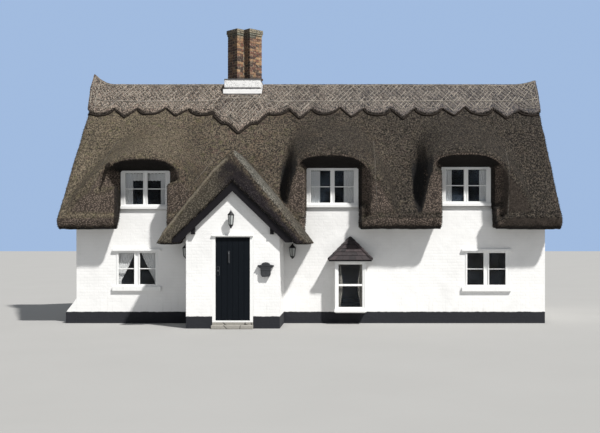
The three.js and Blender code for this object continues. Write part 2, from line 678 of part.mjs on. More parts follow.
function porchFloor() {
  const inner = PORCH_HALF_WIDTH - PORCH_WALL - GAP;
  const back = PORCH_RUN + PORCH_WALL + GAP;
  const level = [0, FLOOR_TOP];
  add('porch_floor', join(
    block(around(PORCH_X, inner), [back, -GAP], level),
    block(around(DOOR_X, INNER_DOORWAY.half - GAP), [-INNER_DOORWAY.lap, WALL], level),
    block(around(DOOR_X, doorOpening - GAP), [PORCH_RUN, back + INNER_DOORWAY.lap], level)), STONE);
}

// Outline of the porch thatch, sunk by a share of its rounding towards the lip.
function porchOutline(share) {
  const { left, right, z, chamfer, drop } = PORCH_EAVES;
  const flank = (eaves, sink) => {
    const reach = eaves - sink.reach * share;
    const crown = PORCH_CROWN.map(([x, height], i) => [x, height - sink.crown[i] * share]);
    return [...crown, [reach, z], [reach - chamfer, z - drop]];
  };
  const leftFlank = flank(left, PORCH_SINK.left).slice(1).map(([x, height]) => [-x, height]);
  return [...flank(right, PORCH_SINK.right).reverse(), ...leftFlank];
}

// The porch thatch has a rounded lip.
function porchThatch() {
  const { depth, steps } = PORCH_ROUND;
  const ring = (share, run) => porchOutline(share).map(([x, z]) => [PORCH_X + x, FRONT + run, z]);
  const lip = range(steps).map((t) => {
    const angle = t * Math.PI / 2;
    return ring(1 - Math.sin(angle), PORCH_LIP + depth * (1 - Math.cos(angle)));
  });
  const shape = loft([...lip, ring(0, PORCH_ROOF_END)], ringCentre);
  const house = alongX([
    [-GAP, BELOW], [FAR, BELOW], [FAR, FAR], [RIDGE_RUN, underside(RIDGE_RUN)],
    [-GAP, underside(0)],
  ], -FAR, FAR);
  const thatch = cut(shape, porchSpace(GAP), house, roofSlope(DORMERS, GAP * 1.5));
  add('porch_thatch', largest(thatch), THATCH);
}

function bargeboards() {
  const { depth, thick, run, short, foot } = BARGEBOARD;
  const end = PORCH_SOFFIT_HALF - short;
  const apex = PORCH_SOFFIT_APEX;
  const top = apex - PORCH_SOFFIT_RISE * end;
  const inner = (apex - depth - foot) / PORCH_SOFFIT_RISE;
  const outline = [
    [-end, top], [-end, foot], [-inner, foot], [0, apex - depth], [inner, foot], [end, foot],
    [end, top], [0, apex],
  ];
  const moved = outline.map(([x, z]) => [PORCH_X + x, z]);
  add('porch_bargeboards', alongY(moved, run, run + thick), PAINT_BLACK);
}

// Front door

const FRAME_BACK = PORCH_RUN + FRAME_DEPTH;
const LEAF_FACE = FRAME_BACK - DOOR_THICK;

// One half of a hinge: side 1 is fixed to the frame and side -1 to the leaf.
function hingeHalf(z, side) {
  const pin = DOOR_X + DOOR_WIDTH / 2 + HINGE.beside;
  const { width, near, far, bed, clear } = HINGE_PLATE;
  const barrel = new THREE.CylinderGeometry(HINGE.radius, HINGE.radius, HINGE.height, HINGE.sides);
  barrel.rotateX(Math.PI / 2);
  barrel.translate(pin, FRONT + FRAME_BACK + HINGE.behind, z);
  const level = around(z, HINGE.height / 2);
  const limits = (from) => [pin + side * from, pin + side * width].sort((a, b) => a - b);
  const plate = block(limits(0), [FRAME_BACK + near, FRAME_BACK + far], level);
  const bedding = block(limits(clear), [FRAME_BACK - BITE, FRAME_BACK + bed], level);
  return join(solid(barrel), plate, bedding);
}

function frontDoor() {
  const half = DOOR_WIDTH / 2;
  const inside = half + DOOR_CLEARANCE;
  const outside = inside + FRAME_WIDTH - GAP;
  const way = [PORCH_RUN - PAST, FRAME_BACK + PAST];
  const dripLevel = [DOOR_DRIP.bottom, DOOR_DRIP.top];
  const step = HINGE.height / 2 + GAP / 2;
  const heights = [HINGE.low, HINGE.high];
  const frame = cut(
    block(around(DOOR_X, outside), [PORCH_RUN, FRAME_BACK], [FLOOR_TOP, LINTEL - GAP]),
    block(around(DOOR_X, inside), way, [FLOOR_TOP + DOOR_SILL, DOOR_TOP + DOOR_CLEARANCE]));
  const drip = block(around(DOOR_X, DOOR_DRIP.half), [PORCH_RUN - DOOR_DRIP.reach, PORCH_RUN - GAP],
    dripLevel);
  const tongue = block(around(DOOR_X, inside), around(PORCH_RUN, DOOR_DRIP.tongue), dripLevel);
  const fixed = heights.map((z) => hingeHalf(z - step, 1));
  add('door_frame', join(frame, drip, tongue, ...fixed), PAINT_WHITE);

  const leaf = block(around(DOOR_X, half), [LEAF_FACE, FRAME_BACK], [DOOR_BOTTOM, DOOR_TOP]);
  const knocker = block([DOOR_X + KNOCKER.left, DOOR_X + KNOCKER.right],
    [LEAF_FACE - KNOCKER.reach, LEAF_FACE + BITE], [KNOCKER.bottom, KNOCKER.top]);
  const latchLeft = DOOR_X - half + LATCH.inset;
  const latch = block([latchLeft, latchLeft + LATCH.width],
    [LEAF_FACE - LATCH.reach, LEAF_FACE + BITE], [LATCH.bottom, LATCH.top]);
  const moving = heights.map((z) => hingeHalf(z + step, -1));
  add('front_door', join(leaf, knocker, latch, ...moving), PAINT_BLACK);
}

// Windows

// Frame and glass of a window that fills an opening of the given size, with its face at run 0.
function windowFrame(name, { x, width, z0, z1, casing, head, mullion }, extra, turn) {
  const half = width / 2 - GAP;
  const inHalf = half - casing;
  const light = [z0 + casing, z1 - head];
  const glassFront = GLASS_SETBACK + GAP;
  const frame = cut(
    block(around(x, half), [0, WINDOW_DEPTH], [z0, z1 - GAP]),
    block(around(x, inHalf), [-PAST, WINDOW_DEPTH + PAST], light));
  const post = block(around(x, mullion / 2), [MULLION.front, GLASS_SETBACK],
    [light[0] - MULLION.bite, light[1] + MULLION.bite]);
  const glass = block(around(x, inHalf - GAP), [glassFront, glassFront + GLASS_THICK],
    [light[0] + GAP, light[1] - GAP]);
  add(`${name}_window`, join(frame, post, ...extra).rotate([0, 0, turn]), PAINT_WHITE);
  add(`${name}_glass`, glass.rotate([0, 0, turn]), GLASS);
}

function dormerWindow({ name, x, width, sill, head }, turn) {
  const bars = { casing: DORMER_CASING, head: DORMER_HEAD_CASING, mullion: DORMER_MULLION };
  const size = { x, width, z0: sill + GAP, z1: head, ...bars };
  const board = block(around(x, width / 2 - GAP), [-LEDGE.reach, LEDGE.lap],
    [sill + GAP, sill + DORMER_SILL]);
  windowFrame(`${name}_dormer`, size, [board], turn);
}

function wallWindow(name, { x, width, sill, bottom, top, ledge }, turn) {
  const bars = { casing: CASING, head: CASING, mullion: WALL_MULLION };
  const size = { x, width, z0: bottom + GAP, z1: top, ...bars };
  const wide = around(x, ledge / 2);
  const inside = around(x, width / 2 - GAP);
  const proud = [-LEDGE.reach, -GAP];
  const tongue = [-LEDGE.tongue, LEDGE.lap];
  windowFrame(name, size, [
    block(wide, proud, [sill, bottom + LEDGE.lap]),
    block(inside, tongue, [bottom + GAP, bottom + LEDGE.lap]),
    block(wide, proud, [top - LEDGE.lap, top + LEDGE.rise]),
    block(inside, tongue, [top - LEDGE.lap, top - GAP]),
  ], turn);
}

function bayWindow() {
  const { x, width, reach, side, bottom, sillTop, top } = BAY;
  const half = width / 2;
  const inner = around(x, half - side);
  const head = top - side;
  const box = block(around(x, half), [-reach, -GAP], [bottom, top]);
  const hollow = block(inner, [-reach + BAY_FACE, PAST], [sillTop, head]);
  const light = block(around(x, half - side - BAY_STOP), [-reach - PAST, PAST],
    [sillTop + BAY_STOP, head - BAY_STOP]);
  const rail = block(around(x, half - BAY_STOP), [-reach + BAY_RAIL.front, -reach + BAY_RAIL.back],
    around((sillTop + top) / 2, BAY_RAIL.half));
  const sill = block(around(x, half + BAY_SILL.beyond), [-reach - BAY_SILL.reach, -GAP],
    [BAY_SILL.bottom, BAY_SILL.top]);
  add('bay_window', join(cut(box, hollow, light), rail, sill), PAINT_WHITE);
  const face = -reach + BAY_FACE + GAP;
  add('bay_glass', block(around(x, half - side - GAP), [face, face + GLASS_THICK],
    [sillTop + GAP, head - GAP]), GLASS);
}

function bayHood() {
  const { half, reach, base, edge, apex } = BAY_HOOD;
  const corners = [[-half, -reach], [half, -reach], [half, -GAP], [-half, -GAP]];
  const positions = [base, base + edge].flatMap((z) => corners.map(([x, run]) => [x, run, z]));
  positions.push([0, -GAP, apex]);
  const placed = positions.map(([x, run, z]) => [BAY.x + x, FRONT + run, z]);
  const faces = [0, 2, 1, 0, 3, 2];
  for (let i = 0; i < corners.length; i += 1) {
    const next = (i + 1) % corners.length;
    const above = i + corners.length;
    const aboveNext = next + corners.length;
    faces.push(i, next, aboveNext, i, aboveNext, above, above, aboveNext, corners.length * 2);
  }
  add('bay_hood', solid(outward(placed.flat(), faces)), TILE);
}

// A pair of curtains that hangs from one rail behind its window.
function curtains(name, x, [bottom, top], run, { half, sides, head }) {
  const depth = [run, run + CURTAIN_THICK];
  const drop = [bottom, top - head + CURTAIN_LAP];
  add(`${name}_curtains`, join(
    block(around(x, half), depth, [top - head, top]),
    block([x - half, x - half + sides[0]], depth, drop),
    block([x + half - sides[1], x + half], depth, drop)), NET);
}

function allCurtains() {
  const behind = WINDOW_DEPTH + GAP;
  DORMERS.forEach(({ name, x, sill, head }, i) => {
    const levels = [sill + CURTAIN_FOOT, head + CURTAIN_HEAD];
    curtains(`${name}_dormer`, x, levels, behind, DORMER_CURTAINS[i]);
  });
  const { bottom, top } = WALL_CURTAIN;
  curtains('left_window', LEFT_WINDOW.x, [bottom, top], behind, WALL_CURTAIN);
  const bayLevels = [BAY.sillTop + CURTAIN_LAP, BAY.top - BAY.side - GAP];
  const bayRun = -BAY.reach + BAY_FACE + BAY_CURTAIN.behind;
  curtains('bay', BAY.x, bayLevels, bayRun, BAY_CURTAIN);
}

function allWindows() {
  DORMERS.forEach((d) => dormerWindow(d, 0));
  wallWindow('left', LEFT_WINDOW, 0);
  wallWindow('right', RIGHT_WINDOW, 0);
  REAR_DORMERS.forEach((d) => dormerWindow(d, TURNED));
  REAR_WINDOWS.forEach((w) => wallWindow(w.name, w, TURNED));
  bayWindow();
  bayHood();
  allCurtains();
}

// Fittings on the walls

// A six-sided lantern on an arm, with its plate on the wall face at the given run.
function lantern(name, { x, z, girth }, face) {
  const turned = ({ top, bottom, height, z: level }) => {
    const geometry = new THREE.CylinderGeometry(top, bottom, height, LANTERN.sides);
    geometry.rotateX(Math.PI / 2);
    geometry.scale(girth, girth, 1);
    geometry.translate(x, FRONT + face - LANTERN.reach, z + level);
    return solid(geometry);
  };
  const plate = block(around(x, LANTERN_PLATE.half), [face - LANTERN_PLATE.thick, face - GAP],
    [z + LANTERN_PLATE.bottom, z + LANTERN_PLATE.top]);
  const arm = block(around(x, LANTERN_ARM.half), [face - LANTERN.reach, face - LANTERN_ARM.end],
    [z + LANTERN_ARM.bottom, z + LANTERN_ARM.top]);
  const pieces = [LANTERN_BODY, LANTERN_HAT, LANTERN_KNOB, LANTERN_BASE].map(turned);
  add(name, join(...pieces, arm, plate), BLACK_IRON);
}

function letterbox() {
  const { x, depth, arch, rise, steps } = LETTERBOX;
  const [, brow] = LETTERBOX_SIDE.at(-1);
  const curve = Array.from({ length: steps + 1 }, (_, i) => {
    const turn = Math.PI * i / steps;
    return [x + arch * Math.cos(turn), brow + BROW_STEP + rise * Math.sin(turn)];
  });
  const right = LETTERBOX_SIDE.map(([out, z]) => [x + out, z]);
  const left = LETTERBOX_SIDE.map(([out, z]) => [x - out, z]).reverse();
  const outline = [...right, ...curve, ...left];
  add('letterbox', alongY(outline, PORCH_RUN - depth, PORCH_RUN - GAP), BLACK_IRON);
}

floors();
houseWalls();
porchWalls();
porchFloor();
mainRoof();
ridgeCap();
porchThatch();
bargeboards();
chimney();
frontDoor();
allWindows();
lantern('left_lantern', LEFT_LANTERN, 0);
lantern('right_lantern', RIGHT_LANTERN, 0);
lantern('porch_lamp', PORCH_LAMP, PORCH_RUN);
letterbox();

export default cottage;
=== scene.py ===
import math
import random

import bmesh
import bpy
import numpy as np
from mathutils import Matrix, Vector, noise
from mathutils.bvhtree import BVHTree


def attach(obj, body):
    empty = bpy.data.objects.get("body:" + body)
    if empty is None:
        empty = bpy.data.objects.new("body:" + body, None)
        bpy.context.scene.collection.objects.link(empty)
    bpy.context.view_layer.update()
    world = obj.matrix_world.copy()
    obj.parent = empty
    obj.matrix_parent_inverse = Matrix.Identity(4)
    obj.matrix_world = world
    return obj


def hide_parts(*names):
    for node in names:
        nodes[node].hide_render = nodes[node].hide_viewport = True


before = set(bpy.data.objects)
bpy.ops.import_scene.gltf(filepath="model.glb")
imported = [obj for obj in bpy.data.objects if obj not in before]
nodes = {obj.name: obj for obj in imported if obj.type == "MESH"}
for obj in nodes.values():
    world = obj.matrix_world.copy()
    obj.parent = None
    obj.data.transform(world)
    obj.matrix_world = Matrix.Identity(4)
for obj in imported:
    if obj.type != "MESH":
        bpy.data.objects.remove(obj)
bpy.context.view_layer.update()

scene = bpy.context.scene
random.seed(11)

# Places, in metres, as in the model. FRONT is the outer face of the front wall.
EYE = Vector((1.0065, -26.72, 2.13))
HALF_LENGTH = 6.0
FRONT = -2.9
PORCH_X = -1.812
PORCH_FACE = -4.35
DOOR_X = -1.817
BAY_X = 1.015
LETTERBOX_X = -1.016
CHIMNEY_X = -2.04
SHAFT_X = -2.015

# Name, X, and the width, sill and head of the frame.
DORMERS = [
    ("left_dormer", -4.235, 1.265, 2.924, 3.905),
    ("middle_dormer", 0.557, 1.334, 2.967, 3.974),
    ("right_dormer", 3.979, 1.273, 3.000, 4.000),
]
REAR_DORMERS = [
    ("rear_left_dormer", -3.0, 1.270, 2.967, 3.974),
    ("rear_right_dormer", 3.0, 1.270, 2.967, 3.974),
]
WALL_WINDOWS = [
    ("left", -4.449, 1.100, 0.920, 1.870),
    ("right", 4.500, 1.130, 0.905, 1.870),
]
REAR_WINDOWS = [
    ("rear_left", -3.0, 1.100, 0.920, 1.870),
    ("rear_right", 3.0, 1.100, 0.920, 1.870),
]


def put(item, **settings):
    for key, value in settings.items():
        setattr(item, key, value)
    return item


def linked(name, data):
    obj = bpy.data.objects.new(name, data)
    scene.collection.objects.link(obj)
    return obj


# Camera and light

def stand():
    lens = put(bpy.data.cameras.new("camera"), lens=55.8, sensor_width=36, shift_x=-0.0833,
               shift_y=0.0392)
    scene.camera = put(linked("camera", lens), location=EYE,
                       rotation_euler=(math.radians(90), 0, 0))
    light = put(bpy.data.lights.new("key", "SUN"), energy=5.1, color=(1.0, 0.985, 0.955),
                angle=math.radians(2.5))
    sun_path = Vector((-1.0, 1.0, -1.8))
    put(linked("key", light), rotation_euler=sun_path.to_track_quat("-Z", "Y").to_euler())

    world = put(bpy.data.worlds.new("studio"), use_nodes=True)
    tree = world.node_tree
    sky = tree.nodes["Background"]
    sky.inputs["Color"].default_value = (0.86, 0.92, 1.0, 1)
    sky.inputs["Strength"].default_value = 0.38
    backdrop = tree.nodes.new("ShaderNodeBackground")
    backdrop.inputs["Color"].default_value = (0.36, 0.50, 0.74, 1)
    seen = tree.nodes.new("ShaderNodeLightPath")
    either = tree.nodes.new("ShaderNodeMixShader")
    tree.links.new(seen.outputs["Is Camera Ray"], either.inputs[0])
    tree.links.new(sky.outputs[0], either.inputs[1])
    tree.links.new(backdrop.outputs[0], either.inputs[2])
    tree.links.new(either.outputs[0], tree.nodes["World Output"].inputs["Surface"])
    scene.world = world
    scene.view_settings.view_transform = "Standard"


# Materials. Colours are in linear light, and a span eases from one value to another.

class Graph:
    """A Principled material with short calls for its nodes."""

    def __init__(self, name, roughness=0.8, metallic=0.0, shine=0.5, alpha=1.0):
        self.material = put(bpy.data.materials.new(name), use_nodes=True)
        self.tree = self.material.node_tree
        self.shader = self.tree.nodes["Principled BSDF"]
        for key, value in (("Roughness", roughness), ("Metallic", metallic),
                           ("Specular IOR Level", shine), ("Alpha", alpha)):
            self.shader.inputs[key].default_value = value
        self.place = self.add("ShaderNodeTexCoord").outputs["Object"]
        split = self.add("ShaderNodeSeparateXYZ", {"Vector": self.place})
        self.x, self.y, self.z = split.outputs

    def add(self, kind, inputs=None, **settings):
        node = put(self.tree.nodes.new(kind), **settings)
        for key, value in (inputs or {}).items():
            self.feed(node.inputs[key], value)
        return node

    def feed(self, socket, value):
        if isinstance(value, bpy.types.NodeSocket):
            self.tree.links.new(value, socket)
        elif isinstance(value, tuple) and len(value) == 3 and socket.type == "RGBA":
            socket.default_value = (*value, 1)
        else:
            socket.default_value = value

    def maths(self, operation, a, b=0.0):
        node = self.add("ShaderNodeMath", operation=operation)
        self.feed(node.inputs[0], a)
        self.feed(node.inputs[1], b)
        return node.outputs[0]

    def times(self, first, *others):
        for other in others:
            first = self.maths("MULTIPLY", first, other)
        return first

    def plus(self, a, b):
        return self.maths("ADD", a, b)

    def away(self, value, *places):
        """How far a value is from the nearest of some places."""
        gaps = [self.maths("ABSOLUTE", self.maths("SUBTRACT", value, p)) for p in places]
        nearest = gaps[0]
        for gap in gaps[1:]:
            nearest = self.maths("MINIMUM", nearest, gap)
        return nearest

    def vector(self, x, y, z):
        return self.add("ShaderNodeCombineXYZ", {"X": x, "Y": y, "Z": z}).outputs[0]

    def noise(self, scale, detail=3.0, where=None, rough=0.55):
        return self.add("ShaderNodeTexNoise", {
            "Vector": where or self.place, "Scale": scale, "Detail": detail,
            "Roughness": rough}).outputs["Fac"]

    def cells(self, scale, feature="F1"):
        return self.add("ShaderNodeTexVoronoi", {"Vector": self.place, "Scale": scale},
                        feature=feature).outputs["Distance"]

    def span(self, value, low, high, to_high=1.0, to_low=0.0):
        node = self.add("ShaderNodeMapRange", interpolation_type="SMOOTHSTEP")
        for socket, item in zip(node.inputs, (value, low, high, to_low, to_high)):
            self.feed(socket, item)
        return node.outputs[0]

    def mix(self, factor, a, b):
        node = self.add("ShaderNodeMix", data_type="RGBA")
        self.feed(node.inputs[0], factor)
        self.feed(node.inputs[6], a)
        self.feed(node.inputs[7], b)
        return node.outputs[2]

    def tint(self):
        return self.add("ShaderNodeAttribute", attribute_name="tint").outputs["Fac"]

    def facing(self):
        normal = self.add("ShaderNodeNewGeometry").outputs["Normal"]
        return self.add("ShaderNodeSeparateXYZ", {"Vector": normal}).outputs

    def rounded(self, radius):
        return self.add("ShaderNodeBevel", {"Radius": radius}, samples=4).outputs[0]

    def bump(self, height, distance, strength=1.0, under=None):
        inputs = {"Height": height, "Distance": distance, "Strength": strength}
        if under:
            inputs["Normal"] = under
        return self.add("ShaderNodeBump", inputs).outputs[0]

    def coat(self, share, color):
        self.color = self.mix(share, self.color, color)

    def done(self, normal=None):
        self.feed(self.shader.inputs["Base Color"], self.color)
        if normal:
            self.feed(self.shader.inputs["Normal"], normal)
        return self.material


def shade(color, share):
    return tuple(v * share for v in color)


def limewash(name, stains_and_shade=0.0):
    """Brushed lime over brick, with a black plinth. The chimney's base gets grey stains, and
    painted shade lines at its two ledges.
    """
    g = Graph(name, 0.88)
    across = g.plus(g.x, g.y)
    wobble = g.times(g.noise(2.5, 2.0), 0.03)
    joints = g.add("ShaderNodeTexBrick", {
        "Vector": g.vector(across, g.plus(g.z, wobble), 0.0), "Scale": 1.0, "Mortar Size": 0.011,
        "Mortar Smooth": 0.9, "Brick Width": 0.235, "Row Height": 0.078}).outputs["Fac"]
    patches = g.span(g.noise(1.3, 5.0), 0.45, 0.75)
    grain = g.noise(70.0, 4.0)
    g.color = g.mix(patches, (0.87, 0.865, 0.855), (0.80, 0.795, 0.785))
    g.coat(g.times(joints, 0.06), (0.60, 0.59, 0.58))
    streaks = g.noise(5.0, 4.0, g.vector(g.times(across, 3.0), 0.0, g.times(g.z, 0.25)))
    low = g.span(g.z, 1.1, 0.25, 1.15, 0.15)
    g.coat(g.times(g.span(streaks, 0.55, 0.8), low, 0.22), (0.42, 0.41, 0.37))
    if stains_and_shade:
        lower_ledge, upper_ledge = 6.425, 6.635
        spots = g.span(g.noise(26.0, 6.0, rough=0.75), 0.46, 0.66)
        broad = g.span(g.noise(3.0, 3.0), 0.38, 0.62)
        upper = g.span(g.z, 6.41, 6.45, 1.0, 0.2)
        g.coat(g.times(spots, broad, upper, stains_and_shade), (0.13, 0.13, 0.135))
        ragged = g.plus(g.z, g.times(spots, 0.012))
        # Painted shade: dark lines along the top edge of the base and in the joint between its two
        # tiers.
        ledge_shade = g.maths("MAXIMUM", g.span(ragged, upper_ledge, upper_ledge + 0.020),
                       g.span(g.away(ragged, lower_ledge), 0.028, 0.018))
        g.coat(g.times(ledge_shade, 0.9), (0.030, 0.030, 0.034))
    plinth_top = g.plus(0.27, g.times(g.noise(9.0, 4.0), 0.035))
    plinth = g.span(g.maths("SUBTRACT", g.z, plinth_top), 0.012, 0.0)
    g.coat(plinth, (0.013, 0.014, 0.019))
    height = g.maths("SUBTRACT", g.times(grain, 0.35), joints)
    lumps = g.bump(g.noise(3.5, 3.0), 0.02, 0.6, g.rounded(0.014))
    return g.done(g.bump(height, 0.002, 0.6, lumps))


def slope_grain(g, stretch):
    """Coordinates for reeds: across them, and along them, where a low stretch draws them out."""
    toward = g.times(g.maths("ABSOLUTE", g.y), -1.0)
    along = g.times(g.plus(toward, g.z), stretch)
    return g.vector(g.x, g.maths("SUBTRACT", toward, g.z), along)


class Reeds(Graph):
    """Stippled reed ends with stains, and the tones that both kinds of thatch share."""

    def __init__(self, name, pale, dark, moss, warmth):
        super().__init__(name, 0.92, shine=0.2)
        self.pale, self.dark = pale, dark
        self.stipple = self.noise(30.0, 4.0, slope_grain(self, 0.45), 0.7)
        self.strands = self.noise(70.0, 3.0, slope_grain(self, 0.16), 0.7)
        self.patches = self.noise(0.9, 5.0, rough=0.6)
        self.right, _, self.up = self.facing()
        self.color = self.speckle(0.43, dark, pale)
        self.coat(self.span(self.strands, 0.55, 0.72, 0.5), shade(pale, 1.35))
        russet = self.noise(9.0, 4.0, slope_grain(self, 0.8))
        self.coat(self.span(russet, 0.52, 0.66, 0.45), (0.105, 0.062, 0.055))
        mossy = self.span(self.noise(6.0, 5.0, rough=0.65), 0.52, 0.68)
        mossy = self.times(mossy, self.span(self.x, 0.5, -5.5, *moss))
        self.coat(mossy, (0.088, 0.086, 0.036))
        warm = self.span(self.noise(1.7, 4.0, rough=0.6), 0.50, 0.68, warmth)
        self.coat(self.times(warm, self.span(self.stipple, 0.42, 0.58)), (0.150, 0.098, 0.058))
        self.coat(self.span(self.patches, 0.42, 0.66, 0.35), dark)
        tint = self.tint()
        self.coat(self.span(tint, 0.55, 1.0, 0.8), pale)
        self.coat(self.span(tint, 0.45, 0.0, 0.7), dark)

    def speckle(self, low, dark, pale):
        return self.mix(self.span(self.stipple, low, 0.60), dark, pale)

    def darken_rightwards(self, share, color):
        """Darker reed towards the right, with a ragged limit."""
        ragged = self.plus(self.x, self.times(self.patches, 2.0))
        self.coat(self.span(ragged, -2.0, 5.0, share), color)

    def clumps(self, dark_share, pale_share):
        lumps = self.noise(16.0, 3.0, slope_grain(self, 0.75), 0.65)
        self.coat(self.span(lumps, 0.47, 0.38, dark_share), self.dark)
        self.coat(self.span(lumps, 0.53, 0.64, pale_share), self.pale)

    def shade_undersides(self):
        # Painted shade: near black on faces that turn downwards, under the lips and eaves.
        self.coat(self.span(self.up, -0.35, -0.7), (0.012, 0.010, 0.009))

    def finished(self):
        height = self.plus(self.times(self.strands, 0.4), self.times(self.stipple, 0.8))
        return self.done(self.bump(height, 0.03, 0.9))


def ridge_thatch(name, pale, dark):
    g = Reeds(name, pale, dark, (0.15, 0.10), 0.2)
    g.darken_rightwards(0.4, (0.060, 0.068, 0.085))
    g.clumps(0.2, 0.1)
    # Painted shade on the steeper faces, such as the cut edges of the skirt.
    g.coat(g.span(g.up, 0.35, -0.05), (0.020, 0.017, 0.014))
    g.shade_undersides()
    return g.finished()


def porch_sun_paint(g):
    """Painted sunlight on the porch's right slope, on faces that turn to the sun, most of all near
    its top.
    """
    height_over_slope = g.plus(g.z, g.times(g.maths("SUBTRACT", g.x, PORCH_X), 1.2))
    return g.times(g.span(g.right, 0.4, 0.6), g.span(g.plus(g.y, g.patches), -2.3, -3.1),
                   g.span(g.x, -2.1, -1.9), g.span(height_over_slope, 4.9, 4.7),
                   g.span(g.z, 2.75, 3.25, 0.62, 0.22))


def cut_reed(g):
    """Cut reed ends: pale at the eaves, dark beyond the right hood, and the porch's two arms. The
    pale ends are partly painted light that brightens steep faces in shade.
    """
    ends = g.span(g.cells(30.0), 0.15, 0.6)
    eaves = g.mix(ends, (0.30, 0.235, 0.19), (0.060, 0.047, 0.040))
    left_arm = g.mix(ends, (0.200, 0.175, 0.135), (0.055, 0.048, 0.038))
    right_arm = g.mix(ends, (0.056, 0.047, 0.051), (0.017, 0.014, 0.017))
    arms = g.mix(g.span(g.x, PORCH_X - 0.5, PORCH_X + 0.05), left_arm, right_arm)
    peak = g.times(g.span(g.away(g.x, PORCH_X), 0.42, 0.22),
                   g.span(g.z, 3.40, 3.65, 0.75))
    arms = g.mix(peak, arms, (0.022, 0.018, 0.020))
    cut = g.mix(g.span(g.y, -4.2, -4.4), eaves, arms)
    steep = g.mix(g.stipple, (0.020, 0.016, 0.014), (0.085, 0.068, 0.056))
    return g.mix(g.times(g.span(g.x, 4.75, 4.95), g.span(g.z, 2.15, 2.70)), cut, steep)


def casing_shade(g):
    """Narrow dark strips where the reed meets a dormer's casing."""
    _, left_x, left_width, _, _ = DORMERS[0]
    edges = [left_x - left_width / 2 + 0.03]
    edges += [x + width / 2 + 0.04 for _, x, width, _, _ in DORMERS[1:]]
    return g.times(g.span(g.away(g.x, *edges), 0.060, 0.035), g.span(g.y, -2.7, -2.9),
                   g.span(g.z, 4.1, 3.9, 0.85))


def slope_thatch(name, pale, dark):
    """The reed of both slopes and the porch, with its weather, cut faces, painted sunlight and
    highlights, and painted shade in dark hollows.
    """
    g = Reeds(name, pale, dark, (0.85, 0.35), 0.45)
    front = g.span(g.y, 0.0, -0.1)

    def over_hood(x, reach, rise, fade, share):
        return g.times(g.span(g.away(g.x, x), *reach), g.span(g.z, *rise),
                       g.span(g.z, *fade, share))

    # Paler reed towards the left end, and painted sunlight over the left hood.
    pale_left_and_painted_sun = g.maths("MAXIMUM", over_hood(-4.15, (1.1, 0.5), (4.0, 4.3), (5.6, 4.9), 0.4),
                    g.span(g.x, -2.2, -5.0, 0.42))
    g.coat(g.times(pale_left_and_painted_sun, front), g.speckle(0.43, (0.055, 0.046, 0.033), (0.260, 0.215, 0.148)))
    deep = g.speckle(0.47, shade(dark, 0.2), (0.064, 0.055, 0.048))
    g.darken_rightwards(0.82, deep)
    cool = over_hood(0.35, (1.20, 0.70), (3.95, 4.20), (6.0, 5.3), 0.36)
    g.coat(g.times(cool, front), deep)
    g.clumps(0.55, 0.28)
    g.coat(porch_sun_paint(g), g.speckle(0.43, (0.055, 0.054, 0.047), (0.29, 0.285, 0.25)))
    g.coat(g.span(g.up, 0.22, -0.05), cut_reed(g))
    # Painted highlight along the rounded left edge of the porch's front face.
    verge = g.times(g.span(g.up, 0.10, 0.25), g.span(g.up, 0.62, 0.50),
                    g.span(g.y, -4.20, -4.35, 0.42),
                    g.span(g.x, PORCH_X - 0.05, PORCH_X - 0.20))
    g.coat(verge, (0.34, 0.30, 0.23))
    g.shade_undersides()
    # Painted shade in the hollows left of the middle and right hoods.
    hollows = g.times(g.span(g.right, -0.12, -0.4), g.span(g.away(g.x, -0.50, 2.88), 0.48, 0.38),
                      g.span(g.z, 4.35, 3.95, 0.85))
    g.coat(hollows, (0.010, 0.010, 0.011))
    g.coat(casing_shade(g), (0.009, 0.008, 0.008))
    return g.finished()


def brick(name):
    g = Graph(name, 0.9)
    tint = g.tint()
    spots = g.noise(30.0, 6.0, rough=0.8)
    g.color = g.mix(g.span(tint, 0.0, 0.35), (0.050, 0.030, 0.026), (0.17, 0.070, 0.048))
    g.coat(g.span(tint, 0.35, 1.0), (0.40, 0.24, 0.125))
    g.coat(g.span(spots, 0.48, 0.60, 0.9), (0.040, 0.032, 0.027))
    buff = g.span(g.noise(24.0, 5.0, rough=0.75), 0.55, 0.64, 0.75)
    g.coat(buff, (0.50, 0.42, 0.28))
    soot = g.span(g.plus(g.z, g.times(g.noise(7.0, 3.0), 0.25)), 7.97, 8.12, 0.7)
    lichen = g.mix(g.span(spots, 0.45, 0.6), (0.26, 0.27, 0.21), (0.06, 0.06, 0.05))
    g.coat(soot, lichen)
    # Painted shade: darker bricks at the foot of the shafts.
    foot = g.span(g.plus(g.z, g.times(spots, 0.08)), 6.90, 6.78, 0.6)
    g.coat(foot, (0.035, 0.030, 0.026))
    shaded = g.span(g.facing()[0], -0.35, -0.65, 0.65)
    g.coat(shaded, (0.022, 0.014, 0.012))
    return g.done(g.bump(spots, 0.006, 0.8))


def mortar(name):
    g = Graph(name, 0.95)
    sand = g.noise(140.0, 4.0)
    g.color = g.mix(sand, (0.15, 0.125, 0.09), (0.26, 0.225, 0.17))
    g.coat(g.span(g.z, 7.8, 8.0, 0.8), (0.03, 0.03, 0.03))
    return g.done(g.bump(sand, 0.003))


def paint(name, color, worn, roughness=0.45, shine=0.5):
    """Paint on wood, with its grain showing through along Z."""
    g = Graph(name, roughness, shine=shine)
    stretched = g.vector(g.times(g.x, 60.0), g.times(g.y, 60.0), g.times(g.z, 5.0))
    wood = g.noise(1.0, 3.0, stretched)
    patches = g.span(g.noise(7.0, 5.0, rough=0.7), 0.58, 0.8, 0.5)
    g.color = g.mix(patches, color, worn)
    g.coat(g.span(wood, 0.45, 0.75, 0.25), worn)
    return g.done(g.bump(wood, 0.0012, 0.7, g.rounded(0.004)))


